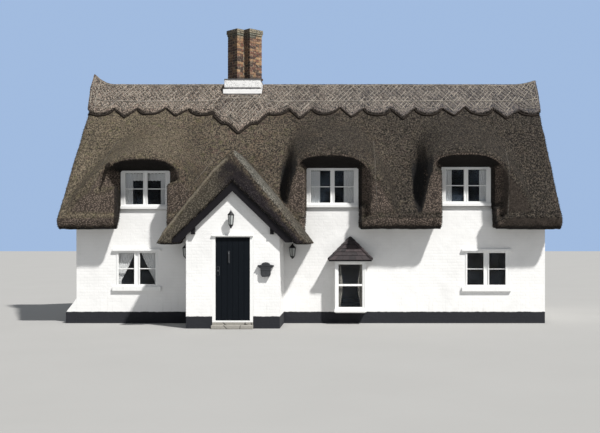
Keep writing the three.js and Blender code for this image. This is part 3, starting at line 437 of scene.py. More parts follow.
def window_glass(name):
    """Dark old glass, with a painted reflection of sky in the panes of the upper storey."""
    g = Graph(name, 0.05, shine=0.8, alpha=0.12)
    painted_sky = g.mix(g.span(g.z, 2.2, 2.7), (0.035, 0.048, 0.066), (0.15, 0.20, 0.27))
    g.color = g.mix(g.span(g.noise(1.9, 3.0), 0.4, 0.65), (0.010, 0.014, 0.020), painted_sky)
    return g.done(g.bump(g.noise(3.0, 2.0), 0.004, 0.25))


def lamp_glass(name):
    g = Graph(name, 0.18, alpha=0.72)
    g.color = g.mix(g.noise(12.0, 3.0), (0.62, 0.64, 0.62), (0.38, 0.40, 0.40))
    return g.done(g.bump(g.noise(30.0), 0.002, 0.4))


def net(name, pale, deep):
    g = Graph(name, 0.95, alpha=0.96)
    weave = g.add("ShaderNodeTexWave", {"Vector": g.place, "Scale": 95.0, "Distortion": 1.2},
                  bands_direction="DIAGONAL").outputs["Fac"]
    g.color = g.mix(g.span(g.cells(34.0), 0.15, 0.55, 0.3), pale, deep)
    return g.done(g.bump(weave, 0.0015, 0.8))


def iron(name, tone=0.02):
    g = Graph(name, 0.42, 0.35)
    dents = g.noise(45.0, 4.0)
    g.color = g.mix(g.span(g.noise(14.0, 5.0), 0.55, 0.8, 0.5),
                    (tone, tone * 1.05, tone * 1.15), (tone * 3.2, tone * 2.7, tone * 2.4))
    return g.done(g.bump(dents, 0.0016, 0.7))


def tile(name):
    g = Graph(name, 0.85)
    g.color = g.mix(g.tint(), (0.020, 0.017, 0.019), (0.058, 0.042, 0.044))
    g.coat(g.span(g.noise(12.0, 4.0), 0.56, 0.74, 0.35), (0.085, 0.08, 0.075))
    return g.done(g.bump(g.noise(40.0, 5.0, rough=0.7), 0.004, 0.8))


def rod(name):
    g = Graph(name, 0.85)
    g.color = g.mix(g.tint(), (0.035, 0.030, 0.026), (0.31, 0.275, 0.23))
    g.coat(g.span(g.noise(9.0, 4.0), 0.5, 0.7, 0.6), (0.16, 0.145, 0.14))
    return g.done(g.bump(g.noise(60.0), 0.002))


def mottled(name, scale, dark, pale, roughness, shine=0.5):
    g = Graph(name, roughness, shine=shine)
    g.color = g.mix(g.noise(scale), dark, pale)
    return g.done()


def stone(name):
    g = Graph(name, 0.85)
    slab_edges = g.cells(1.8, "DISTANCE_TO_EDGE")
    grain = g.noise(35.0, 5.0)
    g.color = g.mix(grain, (0.20, 0.19, 0.17), (0.42, 0.40, 0.36))
    g.coat(g.span(slab_edges, 0.03, 0.0), (0.07, 0.065, 0.06))
    return g.done(g.bump(g.plus(grain, g.span(slab_edges, 0.0, 0.03)), 0.006))


def boards(name):
    g = Graph(name, 0.7)
    highlights_and_rim_shadow = g.add("ShaderNodeTexBrick", {
        "Vector": g.place, "Scale": 1.0, "Mortar Size": 0.004, "Brick Width": 2.4,
        "Row Height": 0.18, "Color1": (0.16, 0.10, 0.055), "Color2": (0.24, 0.155, 0.09),
        "Mortar": (0.02, 0.014, 0.01)})
    figure = g.noise(1.0, 5.0, g.vector(g.times(g.x, 4.0), g.times(g.y, 60.0), g.z))
    g.color = g.mix(g.span(figure, 0.4, 0.7, 0.4), highlights_and_rim_shadow.outputs["Color"], (0.08, 0.05, 0.03))
    return g.done(g.bump(figure, 0.002))


LIMEWASH = limewash("limewash")
STAINED_SHADED_LIMEWASH = limewash("stained_shaded_limewash", 0.75)
THATCH = slope_thatch("thatch", (0.162, 0.132, 0.096), (0.0100, 0.0083, 0.0074))
RIDGE = ridge_thatch("ridge_thatch", (0.37, 0.305, 0.25), (0.014, 0.012, 0.012))
ROD = rod("split_rods")
SHADED_REED = mottled("shaded_reed", 60.0, (0.010, 0.008, 0.007), (0.034, 0.027, 0.022),
                      0.95, 0.1)
BRICK = brick("brick")
MORTAR = mortar("mortar")
WHITE = paint("white_paint", (0.88, 0.88, 0.87), (0.60, 0.60, 0.58), 0.5)
DOOR_BLACK = paint("black_door_paint", (0.004, 0.006, 0.009), (0.008, 0.010, 0.013), 0.6, 0.1)
BOARD_BLACK = paint("black_board_paint", (0.009, 0.008, 0.010), (0.020, 0.018, 0.020), 0.5, 0.15)
GLASS = window_glass("window_glass")
LAMP_GLASS = lamp_glass("lamp_glass")
NET = net("net_curtain", (0.94, 0.95, 0.95), (0.78, 0.80, 0.81))
LINEN = net("linen_curtain", (0.40, 0.38, 0.34), (0.26, 0.25, 0.22))
IRON = iron("black_iron")
WORN_IRON = iron("worn_iron", 0.07)
BOX_IRON = iron("letterbox_iron", 0.052)
TILE = tile("roof_tile")
STONE = stone("stone_floor")
BOARDS = boards("floor_boards")

CAD_FINISH = {
    "bay_window": WHITE, "door_frame": WHITE, "bay_hood": TILE, "chimney_base": STAINED_SHADED_LIMEWASH,
    "chimney_breast": BRICK, "floor_slab": STONE, "porch_floor": STONE, "upper_floor": BOARDS,
    "front_door": DOOR_BLACK, "porch_bargeboards": BOARD_BLACK, "letterbox": BOX_IRON,
}
SOFT_EDGED = ("_window", "door_frame", "front_door", "bargeboards", "letterbox", "chimney_base")
WELD = 0.00005


def cad_finish(name):
    if name in CAD_FINISH:
        return CAD_FINISH[name]
    if name.endswith("_glass"):
        return GLASS
    if name.endswith("_window"):
        return WHITE
    if "wall" in name or name.startswith("porch_") or name.endswith("_foot"):
        return LIMEWASH
    return THATCH


def dress_cad():
    for name, obj in nodes.items():
        for place in obj.material_slots:
            place.material = cad_finish(name)
        if name.endswith(SOFT_EDGED):
            modify(obj, "WELD", merge_threshold=WELD)
            soften(obj, 0.012 if name == "chimney_base" else 0.004, 40)


# Making pieces

def modify(obj, kind, **settings):
    put(obj.modifiers.new(kind.lower(), kind), **settings)


def soften(obj, width, least_angle):
    modify(obj, "BEVEL", width=width, segments=2, limit_method="ANGLE",
           angle_limit=math.radians(least_angle))


def shade_smooth(mesh):
    mesh.polygons.foreach_set("use_smooth", [True] * len(mesh.polygons))


def give_tints(mesh, values):
    mesh.attributes.new("tint", "FLOAT", "POINT").data.foreach_set("value", values)


def piece(name, mesh, finish, body="root"):
    obj = linked(name, mesh)
    mesh.materials.clear()
    mesh.materials.append(finish)
    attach(obj, body)
    return obj


class Pile:
    """Many small solids that make one piece, at the rear with a turn of -1. Each has a tint."""

    def __init__(self, turn=1):
        self.verts, self.faces, self.tints = [], [], []
        self.turn = turn

    def solid(self, rings, tint=0.5):
        """A closed solid through rings of points that run anticlockwise, seen from the last one."""
        start, count = len(self.verts), len(rings[0])
        for x, y, z in (point for ring in rings for point in ring):
            self.verts.append((x * self.turn, y * self.turn, z))
            self.tints.append(tint)
        last = len(self.verts) - count
        self.faces += [tuple(reversed(range(start, start + count))),
                       tuple(range(last, last + count))]
        for ring in range(start, last, count):
            for i in range(count):
                a, b = ring + i, ring + (i + 1) % count
                self.faces.append((a, b, b + count, a + count))

    def box(self, x0, x1, y0, y1, z0, z1):
        corners = ((x0, y0), (x1, y0), (x1, y1), (x0, y1))
        self.solid([[(x, y, z) for x, y in corners] for z in (z0, z1)])

    def wide_box(self, x, half, y0, y1, z0, z1):
        self.box(x - half, x + half, y0, y1, z0, z1)

    def pair(self, x, near, far, y0, y1, z0, z1):
        """Two boxes, as far to the left of x as to its right."""
        self.box(x - far, x - near, y0, y1, z0, z1)
        self.box(x + near, x + far, y0, y1, z0, z1)

    def frustum(self, x, y, z0, z1, r0, r1, sides, phase=0.0):
        angles = [phase + 2 * math.pi * i / sides for i in range(sides)]
        self.solid([[(x + r * math.cos(t), y + r * math.sin(t), z) for t in angles]
                    for r, z in ((r0, z0), (r1, z1))])

    def tube(self, path, radius, sides, tint=0.5):
        points = [Vector(p) for p in path]
        rings = []
        for i, p in enumerate(points):
            ahead = points[min(i + 1, len(points) - 1)] - points[max(i - 1, 0)]
            ahead.normalize()
            side = ahead.cross(Vector((0, 0, 1)))
            if side.length < 0.1:
                side = ahead.cross(Vector((1, 0, 0)))
            side.normalize()
            over = ahead.cross(side)
            rings.append([p + (side * math.cos(t) + over * math.sin(t)) * radius
                          for t in (2 * math.pi * k / sides for k in range(sides))])
        self.solid(rings, tint)

    def made(self, name, finish, slot, body="root", bevel=0.0, smooth=False):
        mesh = bpy.data.meshes.new(name)
        mesh.from_pydata(self.verts, [], self.faces)
        give_tints(mesh, self.tints)
        if smooth:
            shade_smooth(mesh)
        obj = piece(name, mesh, finish, body)
        if bevel:
            soften(obj, bevel, 35)
        return obj


# Thatch

def smooth_skin(name, sources, voxel, passes, rough, finish, fills=()):
    """One softened, slightly uneven skin over the forms of some CAD nodes, which it replaces."""
    bm = bmesh.new()
    for source in sources:
        bm.from_mesh(nodes[source].data)
    for low, high in fills:
        size, middle = Vector(high) - Vector(low), (Vector(low) + Vector(high)) / 2
        bmesh.ops.create_cube(bm, size=1.0, matrix=Matrix.LocRotScale(middle, None, size))
    bmesh.ops.remove_doubles(bm, verts=bm.verts, dist=WELD)
    form = linked(name + "_form", bpy.data.meshes.new(name + "_form"))
    bm.to_mesh(form.data)
    bm.free()
    modify(form, "REMESH", mode="VOXEL", voxel_size=voxel)
    modify(form, "SMOOTH", factor=0.5, iterations=passes)
    depsgraph = bpy.context.evaluated_depsgraph_get()
    mesh = bpy.data.meshes.new_from_object(form.evaluated_get(depsgraph))
    bpy.data.objects.remove(form)
    roughen(mesh, rough)
    square_openings(mesh)
    shade_smooth(mesh)
    give_tints(mesh, [0.5] * len(mesh.vertices))
    skin = piece(name, mesh, finish)
    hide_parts(*sources)
    return skin


def at_vertices(mesh, what):
    values = np.empty(len(mesh.vertices) * 3)
    mesh.vertices.foreach_get(what, values)
    return values.reshape(-1, 3)


def roughen(mesh, amount):
    """Broad swells, and smaller lumps that run down the slope."""
    places, normals = at_vertices(mesh, "co"), at_vertices(mesh, "normal")
    lift = np.empty(len(places))
    for i, (x, y, z) in enumerate(places.tolist()):
        along = z - abs(y)
        broad = noise.noise((x * 1.6, y * 1.6, z * 1.6))
        lumps = noise.noise((x * 7.0, (z + abs(y)) * 7.0 + 40, along * 2.0))
        lift[i] = amount * (broad + 0.55 * lumps)
    mesh.vertices.foreach_set("co", (places + normals * lift[:, None]).ravel())
    mesh.update()


def square_openings(mesh):
    """Keep the softened skin clear of the corners of the dormer frames."""
    outer, inner, lowest, gap = -3.02, -2.6, 2.9, 0.004
    openings = [(x, width, head, 1) for _, x, width, _, head in DORMERS]
    openings += [(-x, width, head, -1) for _, x, width, _, head in REAR_DORMERS]
    for x, width, head, side in openings:
        half, top = width / 2 + gap, head + gap
        for vertex in mesh.vertices:
            place = vertex.co
            aside = abs(place.x - x)
            in_wall = outer < place.y * side < inner
            if not in_wall or aside > half or not lowest <= place.z <= top:
                continue
            if half - aside < top - place.z:
                place.x = x + math.copysign(half, place.x - x)
            else:
                place.z = top
    mesh.update()


def triangles(mesh):
    mesh.calc_loop_triangles()
    index = np.empty(len(mesh.loop_triangles) * 3, np.int32)
    mesh.loop_triangles.foreach_get("vertices", index)
    return at_vertices(mesh, "co")[index].reshape(-1, 3, 3)


def straws(name, skin, count, keep, size, seed, finish, stubs=False):
    """Loose reed tips that lie down the slope of a skin, or stubs that stand out of a cut face."""
    rng = np.random.default_rng(seed)
    corners = triangles(skin.data)
    cross = np.cross(corners[:, 1] - corners[:, 0], corners[:, 2] - corners[:, 0])
    area = np.linalg.norm(cross, axis=1)
    normal = cross / np.maximum(area, 1e-12)[:, None]
    weight = area * keep(corners.mean(axis=1), normal)
    pick = rng.choice(len(corners), count, p=weight / weight.sum())
    a, b = np.sqrt(rng.random(count)), rng.random(count)
    mixes = np.stack([1 - a, a * (1 - b), a * b], axis=1)
    place = (corners[pick] * mixes[:, :, None]).sum(axis=1)
    up = normal[pick]
    down = np.array([0.0, 0.0, -1.0]) + up * up[:, 2:3]
    if stubs:
        down = down * 0.25 + up
    down /= np.maximum(np.linalg.norm(down, axis=1), 1e-6)[:, None]
    side = np.cross(down, up if not stubs else rng.normal(size=(count, 3)))
    side /= np.maximum(np.linalg.norm(side, axis=1), 1e-6)[:, None]
    length, width, rise = size
    angle = rng.normal(0, 0.16, count)[:, None]
    along = down * np.cos(angle) + side * np.sin(angle)
    long = (length * rng.uniform(0.55, 1.3, count))[:, None]
    half = (width * rng.uniform(0.5, 1.2, count))[:, None] / 2
    sunk = place - up * 0.006
    tip = place + along * long + up * (rise * rng.uniform(0.1, 1.0, count))[:, None]
    verts = np.stack([sunk - side * half, sunk + side * half, tip], axis=1).reshape(-1, 3)
    mesh = bpy.data.meshes.new(name)
    faces = np.arange(count * 3).reshape(-1, 3)
    mesh.from_pydata(verts.tolist(), [], faces.tolist(), shade_flat=False)
    give_tints(mesh, np.repeat(rng.random(count), 3))
    piece(name, mesh, finish)


def roofs():
    feet = []
    for _, x, width, _, _ in DORMERS[1:]:
        inner = x + width / 2 + 0.02
        feet.append(((inner, -3.30, 2.43), (inner + 0.22, -2.95, 2.98)))
    front = smooth_skin("front_reed_skin", ["front_thatch", "porch_thatch"], 0.049, 3, 0.013,
                        THATCH, feet)
    rear = smooth_skin("rear_reed_skin", ["rear_thatch"], 0.060, 3, 0.013, THATCH)
    ridge = smooth_skin("ridge_reed_skin", ["ridge_cap"], 0.034, 1, 0.005, RIDGE)

    def outside(place, normal):
        return (normal[:, 2] > 0.12).astype(float)

    def cut_faces(place, normal):
        shown = (normal[:, 2] <= 0.2) & (normal[:, 2] > -0.75)
        near = (np.abs(place[:, 1]) > 2.95) | (np.abs(place[:, 0]) > 6.2)
        return (shown & near).astype(float)

    straws("front_reeds", front, 130000, outside, (0.075, 0.011, 0.016), 3, THATCH)
    straws("rear_reeds", rear, 75000, outside, (0.075, 0.012, 0.016), 5, THATCH)
    straws("ridge_reeds", ridge, 50000, outside, (0.075, 0.009, 0.010), 7, RIDGE)
    for name, skin, count, seed in (("front_reed_ends", front, 40000, 9),
                                    ("rear_reed_ends", rear, 18000, 13)):
        straws(name, skin, count, cut_faces, (0.03, 0.012, 0.0), seed, THATCH, True)
    rods(ridge)
    highlights_and_rim_shadow(front)
    skirt_edge_shadow(front, rear)


# The scalloped skirt of the ridge, by its reach from the crest: lobes with points between them,
# and one big point below the chimney, given as distances from the chimney and extra reach.
SKIRT_REACH = 0.65
BIG_POINT = [(0.750, 0.210), (0.500, 0.440), (0.300, 0.480), (0.0, 0.750)]
LEFT_POINTS = (1.790, 0.270)
RIGHT_POINTS = (1.655, 0.320)
POINT_PITCH = 1.430
POINT_HALF = 0.340
LOBE_HALF = 0.375
LOBE_REACH = 0.210


def skirt(x):
    """How far the skirt of the ridge reaches down from the crest, at a place along it."""
    d = abs(x - CHIMNEY_X)
    if d < BIG_POINT[0][0]:
        for (outer, run0), (inner, run1) in zip(BIG_POINT, BIG_POINT[1:]):
            if inner <= d:
                return SKIRT_REACH + run1 + (run0 - run1) * (d - inner) / (outer - inner)
    first, run = LEFT_POINTS if x < CHIMNEY_X else RIGHT_POINTS
    phase = (d - first) / POINT_PITCH
    from_point = abs(phase - round(phase)) * POINT_PITCH
    if from_point < POINT_HALF:
        return SKIRT_REACH + run * (1 - from_point / POINT_HALF)
    from_lobe = (POINT_PITCH / 2 - from_point) / LOBE_HALF
    return SKIRT_REACH + LOBE_REACH * math.sqrt(max(0.0, 1 - from_lobe ** 2))


def surface(skin):
    return BVHTree.FromPolygons([v.co for v in skin.data.vertices],
                                [tuple(p.vertices) for p in skin.data.polygons])


def drop_to(tree, x, y):
    """The highest place of a surface over a point of the plan."""
    return tree.ray_cast(Vector((x, y, 9.0)), Vector((0, 0, -1)))[0]


def steps(end, pitch):
    return [-end + i * pitch for i in range(int(2 * end / pitch) + 1)]


def rods(ridge):
    """Split rods pegged over the ridge in a net, with runners along it and along its cut edge."""
    tree = surface(ridge)
    end = HALF_LENGTH + 0.27
    first, pitch, tilt, spread = 0.09, 0.06, 0.95, 1.6
    pile = Pile()

    def on_top(x, y):
        if abs(x - CHIMNEY_X) < 0.59 and abs(y) < 0.50:
            return None
        hit = drop_to(tree, x, y)
        return None if hit is None else (x, y, hit.z + 0.007)

    def lay(points, radius, low, high, most=5):
        run = []
        for point in [*points, None]:
            if point is not None:
                run.append(point)
            if point is None or len(run) > most:
                if len(run) > 1:
                    pile.tube(run, radius, 4, random.uniform(low, high))
                run = [point] if point is not None else []

    for rear in (-1, 1):
        for lean in (-1, 1):
            start = -end - spread
            while start < end + spread:
                shift = random.uniform(-0.02, 0.02)
                points = []
                for k in range(24):
                    d = first + k * pitch
                    x = start + shift + lean * (d - first) * tilt
                    inside = abs(x) < end and d < skirt(x) - 0.06
                    points.append(on_top(x, rear * d) if inside else None)
                lay(points, 0.012, 0.0, 1.0, 3)
                start += 0.125
        for d in (0.10, 0.58):
            runner = [on_top(x, rear * (d + 0.006 * math.sin(x * 5))) for x in steps(end, 0.06)]
            lay(runner, 0.015, 0.5, 1.0)
        lay([on_top(x, rear * (skirt(x) - 0.07)) for x in steps(end, 0.035)], 0.012, 0.3, 0.9)
        for side in (-1, 1):
            for inset in (0.0, 0.14):
                places = [0.10 + k * 0.04 for k in range(17)]
                lay([on_top(side * (end - inset), rear * d) for d in places], 0.013, 0.4, 0.9)
    pile.made("ridge_rods", ROD, "ridge_thatch", smooth=True)


# Pale tubes of painted highlight beside the three hoods and along the left slope of the porch, as X
# and height where they cross the plane of the hood's lip when they are looked at from the camera.
LIP_PLANE = -3.4
HIGHLIGHT_PATHS = [
    [(1.60, 4.60), (1.63, 4.14), (1.645, 3.76), (1.67, 3.39), (1.68, 2.82)],
    [(4.90, 4.42), (4.99, 4.02), (5.00, 3.51), (4.98, 3.01), (4.96, 2.66)],
    [(-4.83, 4.61), (-5.28, 3.92), (-5.58, 3.09)],
    [(-2.24, 4.38), (-2.56, 3.98), (-2.89, 3.59), (-3.27, 3.05), (-3.66, 2.51)],
]
# A dark tube of painted shadow under the lip at the left end of the left hood, in the same way.
RIM = [(-5.01, 4.06), (-5.08, 3.99), (-5.13, 3.86), (-5.19, 3.65), (-5.28, 3.36)]


def highlights_and_rim_shadow(front):
    # Pale tubes paint highlights beside the hoods, and a dark tube paints the shadow at the left
    # hood's lip.
    tree, pale, rim = surface(front), Pile(), Pile()

    def path(points):
        found = []
        for (x0, z0), (x1, z1) in zip(points, points[1:]):
            for k in range(8):
                aim = Vector((x0 + (x1 - x0) * k / 8, LIP_PLANE, z0 + (z1 - z0) * k / 8))
                hit = tree.ray_cast(EYE, (aim - EYE).normalized())[0]
                if hit:
                    found.append((hit.x + random.uniform(-0.005, 0.005), hit.y, hit.z))
        return found

    for points in HIGHLIGHT_PATHS:
        line = path(points)
        for start in range(0, len(line) - 2, 2):
            pale.tube(line[start:start + 3], 0.006, 4, random.uniform(0.1, 0.4))
    edge = path(RIM)
    rim.tube(edge[:-7], 0.045, 6, 0.0)
    rim.tube(edge[-8:], 0.028, 6, 0.0)
    pale.made("hood_highlights", ROD, "thatch", smooth=True)
    rim.made("left_hood_rim_shadow", SHADED_REED, "thatch", smooth=True)


def skirt_edge_shadow(front, rear):
    """A dark tube of painted shadow along the cut edge of the ridge skirt, where it lies on the
    slopes.
    """
    pile = Pile()
    for skin, side in ((front, -1), (rear, 1)):
        tree, path = surface(skin), []
        for x in steps(HALF_LENGTH + 0.28, 0.03):
            y = side * (skirt(x) + 0.012)
            hit = drop_to(tree, x, y)
            if hit:
                path.append((x, y, hit.z + 0.012))
        for start in range(0, len(path) - 1, 12):
            pile.tube(path[start:start + 13], 0.036, 5, 0.0)
    pile.made("skirt_shadow_line", SHADED_REED, "ridge_thatch", smooth=True)


# Chimney

def chimney():
    """Two shafts set on the diagonal, in courses of whole and cut bricks round a mortar core."""
    bricks, beds = Pile(), Pile()
    shaft_bottom, cap_bottom, top, core_top = 6.69, 8.02, 8.13, 7.4
    half_diagonal, spacing, rise = 0.315, 0.18, 0.0741
    deep, joint, closer = 0.105, 0.004, 0.11
    centres = [SHAFT_X - spacing, SHAFT_X + spacing]

    def turned(centre, u, v, z):
        c = math.sqrt(0.5)
        return (centre + (u - v) * c, (u + v) * c, z)

    def slab(pile, centre, u0, u1, v0, v1, z0, z1, tint=0.5):
        corners = ((u0, v0), (u1, v0), (u1, v1), (u0, v1))
        pile.solid([[turned(centre, u, v, z) for u, v in corners] for z in (z0, z1)], tint)

    def square_tube(centre, half, inner, z0, z1):
        for u0, u1, v0, v1 in ((-half, half, -half, -inner), (-half, half, inner, half),
                               (-half, -inner, -inner, inner), (inner, half, -inner, inner)):
            slab(beds, centre, u0, u1, v0, v1, z0, z1)

    def course(centre, other, side, z, height, flip):
        half = side / 2
        for face in range(4):
            full = (face % 2 == 0) == flip
            span = half if full else half - deep - 2 * joint
            cuts = [-span, 0.0, span] if full else [-span, closer - span, span - closer, span]
            for a, b in zip(cuts, cuts[1:]):
                proud = random.uniform(-0.002, 0.003)
                a0, b0 = a + joint, b - joint
                outer, inner = half + proud, half - deep
                u0, u1, v0, v1 = ((a0, b0, -outer, -inner), (inner, outer, a0, b0),
                                  (a0, b0, inner, outer), (-outer, -inner, a0, b0))[face]
                x, y, _ = turned(centre, (u0 + u1) / 2, (v0 + v1) / 2, 0)
                if abs(x - other) + abs(y) < half_diagonal - 0.03:
                    continue
                slab(bricks, centre, u0, u1, v0, v1, z, z + height, random.random() ** 1.2)

    for centre, other in zip(centres, reversed(centres)):
        z, flip = shaft_bottom + 0.076, False
        course(centre, other, 0.488, shaft_bottom + 0.003, 0.068, True)
        while z < cap_bottom - 0.04:
            course(centre, other, 0.440, z + joint, 0.0655, flip)
            z += rise
            flip = not flip
        course(centre, other, 0.466, cap_bottom - 0.052, 0.052, flip)
        course(centre, other, 0.492, cap_bottom + 0.004, 0.050, not flip)
        course(centre, other, 0.492, cap_bottom + 0.060, 0.050, flip)
        square_tube(centre, 0.214, 0.12, shaft_bottom, top - 0.012)
        slab(beds, centre, -0.13, 0.13, -0.13, 0.13, shaft_bottom, core_top)
        square_tube(centre, 0.240, 0.14, cap_bottom + 0.01, top + 0.006)
    shown = bricks.made("chimney_bricks", BRICK, "brick", bevel=0.003)
    beds.made("chimney_mortar", MORTAR, "brick")
    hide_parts("chimney_stack")


# Windows

def casements(name, x, half, z0, z1, post, turned):
    """Two casements over the lights of a frame, each with one cross bar."""
    pile = Pile(-1 if turned else 1)
    over, jamb, rail, lap = 0.032, 0.012, 0.008, 0.002
    y0, y1 = FRONT - 0.010, FRONT + 0.0495
    low, high, middle = z0 - over, z1 + over * 0.6, (z0 + z1) / 2
    for side in (-1, 1):
        outer = [x + side * (post - 0.010), x + side * (half + over)]
        inner = [x + side * (post + 0.020), x + side * (half - jamb)]
        for edge, light in zip(outer, inner):
            pile.box(min(edge, light), max(edge, light), y0, y1, low, high)
        a, b = min(inner) - lap, max(inner) + lap
        pile.box(a, b, y0, y1, low, z0 + rail + 0.006)
        pile.box(a, b, y0, y1, z1 - rail, high)
        pile.box(a, b, y0 + 0.022, y1, middle - 0.011, middle + 0.011)
    pile.made(name + "_casements", WHITE, "white_paint", bevel=0.003)


def wavy(name, left, right, z0, z1, y, folds, width_at, seed, depth=0.017, cloth=NET):
    """A hung curtain as one sheet: width_at gives the share of its width kept at a height."""
    rng = random.Random(seed)
    columns, rows = folds * 9, 26
    phases = [rng.uniform(0, 6.28) for _ in range(3)]
    verts, faces = [], []
    for j in range(rows + 1):
        v = j / rows
        z = z1 + (z0 - z1) * v
        low, high = width_at(v)
        for i in range(columns + 1):
            u = i / columns
            x = left + (right - left) * (low + (high - low) * u)
            turn = 2 * math.pi * folds * u
            wave = math.sin(turn + phases[0] + 0.5 * math.sin(3 * v + phases[1]))
            wave += 0.35 * math.sin(turn * 2.1 + phases[2] + 2 * v)
            verts.append((x, y + depth * wave * (0.55 + 0.35 * v) / 1.2,
                          z + 0.006 * math.sin(turn) * v))
    for j in range(rows):
        for i in range(columns):
            a = j * (columns + 1) + i
            faces.append((a, a + 1, a + columns + 2, a + columns + 1))
    mesh = bpy.data.meshes.new(name)
    mesh.from_pydata(verts, [], faces)
    shade_smooth(mesh)
    mesh.update()
    area = sum(p.area for p in mesh.polygons)
    sheet = piece(name, mesh, cloth)
    return sheet, (round(area / (z1 - z0), 3), round(z1 - z0, 3))


def curtain_set(node, x, half, z0, z1, y, sides, shapes, pelmet=0.0, folds=(4, 4), cloth=NET):
    wire = Pile()
    wire.tube([(x - half, y, z1 - 0.006), (x, y, z1 - 0.008), (x + half, y, z1 - 0.006)], 0.005, 6)
    rail = wire.made(node + "_wire", IRON, "black_iron", smooth=True)
    hung = []
    spans = ((x - half, x - half + sides[0]), (x + half - sides[1], x + half))
    for k, ((left, right), shape) in enumerate(zip(spans, shapes)):
        label = f"{node}_{('left', 'right')[k]}"
        sheet, flat = wavy(label, left, right, z0, z1 - 0.004, y, folds[k], shape, len(label) + k,
                           cloth=cloth)
        hung.append(sheet)
    if pelmet:
        sheet, flat = wavy(node + "_pelmet", x - half, x + half, z1 - pelmet, z1 - 0.002,
                           y - 0.004, 12, straight, 5, 0.008)
        hung.append(sheet)
    for sheet in hung:
        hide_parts(node)


def straight(v):
    return (0.0, 1.0)


def tied_left(v):
    """A left curtain drawn back to the jamb at a low tie."""
    return (0.0, 1.0 - 0.80 * min(1.0, v / 0.88) ** 1.15)


def swept_left(v):
    """A narrow left curtain that bows in at its middle height."""
    return (0.0, 0.55 + 0.45 * math.cos(math.pi * (v - 0.5)) ** 2)


def mirrored(shape):
    """The same shape for a curtain at the right."""
    return lambda v: (1.0 - shape(v)[1], 1.0)


def windows():
    for turned, dormers, walls in ((False, DORMERS, WALL_WINDOWS),
                                   (True, REAR_DORMERS, REAR_WINDOWS)):
        for name, x, width, sill, head in dormers:
            casements(name, x, width / 2 - 0.1053, sill + 0.1053, head - 0.055, 0.035, turned)
        for name, x, width, low, high in walls:
            casements(name, x, width / 2 - 0.0623, low + 0.0623, high - 0.062, 0.050, turned)
    y = FRONT + 0.1228
    for (name, x, _, sill, head), half, sides, pelmet, folds in zip(
            DORMERS, (0.545, 0.580, 0.545), ((0.20, 0.17), (0.26, 0.29), (0.19, 0.19)),
            (0.19, 0.0, 0.0), ((4, 3), (5, 6), (4, 4))):
        curtain_set(name + "_curtains", x, half, sill + 0.11, head - 0.06, y, sides,
                    (straight, straight), pelmet, folds)
    curtain_set("left_window_curtains", WALL_WINDOWS[0][1], 0.515, 0.985, 1.850, y, (0.44, 0.44),
                (tied_left, mirrored(tied_left)), folds=(6, 6))
    curtain_set("bay_curtains", BAY_X, 0.315, 0.395, 1.5547, FRONT - 0.2525, (0.125, 0.125),
                (swept_left, mirrored(swept_left)), folds=(3, 3), cloth=LINEN)


def bay():
    """The sashes and posts of the bay, and the tiles and fascia of its hood."""
    x, face, wall = BAY_X, FRONT - 0.35, FRONT - 0.004
    sash = Pile()
    low, high, middle = 0.39, 1.555, 0.995
    for z0, z1, back in ((low + 0.012, middle, 0.014), (middle - 0.03, high - 0.012, 0.026)):
        y0, y1 = face + back - 0.006, face + 0.052
        sash.pair(x, 0.298, 0.325, y0, y1, z0, z1)
        sash.wide_box(x, 0.30, y0, y1, z0, z0 + 0.034)
        sash.wide_box(x, 0.30, y0, y1, z1 - 0.030, z1)
    sash.wide_box(x, 0.405, face - 0.012, face + 0.03, 1.556, 1.598)
    sash.pair(x, 0.352, 0.39, face - 0.010, face + 0.02, 0.375, 1.56)
    sash.made("bay_sashes", WHITE, "white_paint", bevel=0.004)

    half, reach, base, apex = 0.530, 0.450, 1.643, 2.180
    tiles = Pile()
    fl, fr = (x - half, wall - reach, base), (x + half, wall - reach, base)
    bl, br = (x - half, wall, base), (x + half, wall, base)
    peak = Vector((x, wall, apex))
    for corner_a, corner_b in ((fl, fr), (bl, fl), (fr, br)):
        lay_tiles(tiles, Vector(corner_a), Vector(corner_b), peak)
    hips = 5
    for corner in (fl, fr):
        for k in range(hips):
            t0, t1 = k / hips - (0.03 if k == 0 else 0.0), (k + 1.15) / hips
            p0 = Vector(corner).lerp(peak, t0) + Vector((0, 0, 0.030))
            p1 = Vector(corner).lerp(peak, min(1.0, t1)) + Vector((0, 0, 0.014))
            tiles.tube([tuple(p0), tuple(p1)], 0.034, 8, random.random())
    tiles.made("bay_hood_tiles", TILE, "roof_tile", bevel=0.003)
    trim = Pile()
    trim.wide_box(x, 0.50, FRONT - 0.42, wall, 1.600, 1.630)
    trim.wide_box(x, 0.535, FRONT - 0.462, FRONT - 0.44, 1.595, 1.660)
    trim.pair(x, 0.517, 0.539, FRONT - 0.45, wall, 1.595, 1.660)
    trim.made("bay_hood_fascia", BOARD_BLACK, "black_board_paint", bevel=0.003)


def lay_tiles(tiles, left_foot, right_foot, peak):
    """Lapped tiles in rows over one three-sided slope, every second row shifted by half a tile."""
    rows, tile_width, pitch, shift = 6, 0.165, 0.168, 0.085
    across = right_foot - left_foot
    out = across.cross(peak - (left_foot + right_foot) / 2)
    out.normalize()
    if out.z < 0:
        out.negate()
    wide = across.length

    def point(u, t, lift):
        left, right = left_foot.lerp(peak, t), right_foot.lerp(peak, t)
        return left.lerp(right, max(0.0, min(u, wide)) / wide) + out * lift

    for row in range(rows):
        t0 = row / rows - (0.045 if row == 0 else 0.0)
        t1 = min(0.995, (row + 1.12) / rows)
        u = -shift if row % 2 else 0.0
        while u < wide - 0.01:
            a, b = max(0.0, u + 0.003), min(wide, u + tile_width)
            if b - a > 0.02:
                lift = random.uniform(0.022, 0.030)
                rings = [[point(a, t0, low), point(b, t0, low), point(b, t1, high),
                          point(a, t1, high)]
                         for low, high in ((lift - 0.014, -0.004), (lift, 0.010))]
                tiles.solid(rings, random.random())
            u += pitch


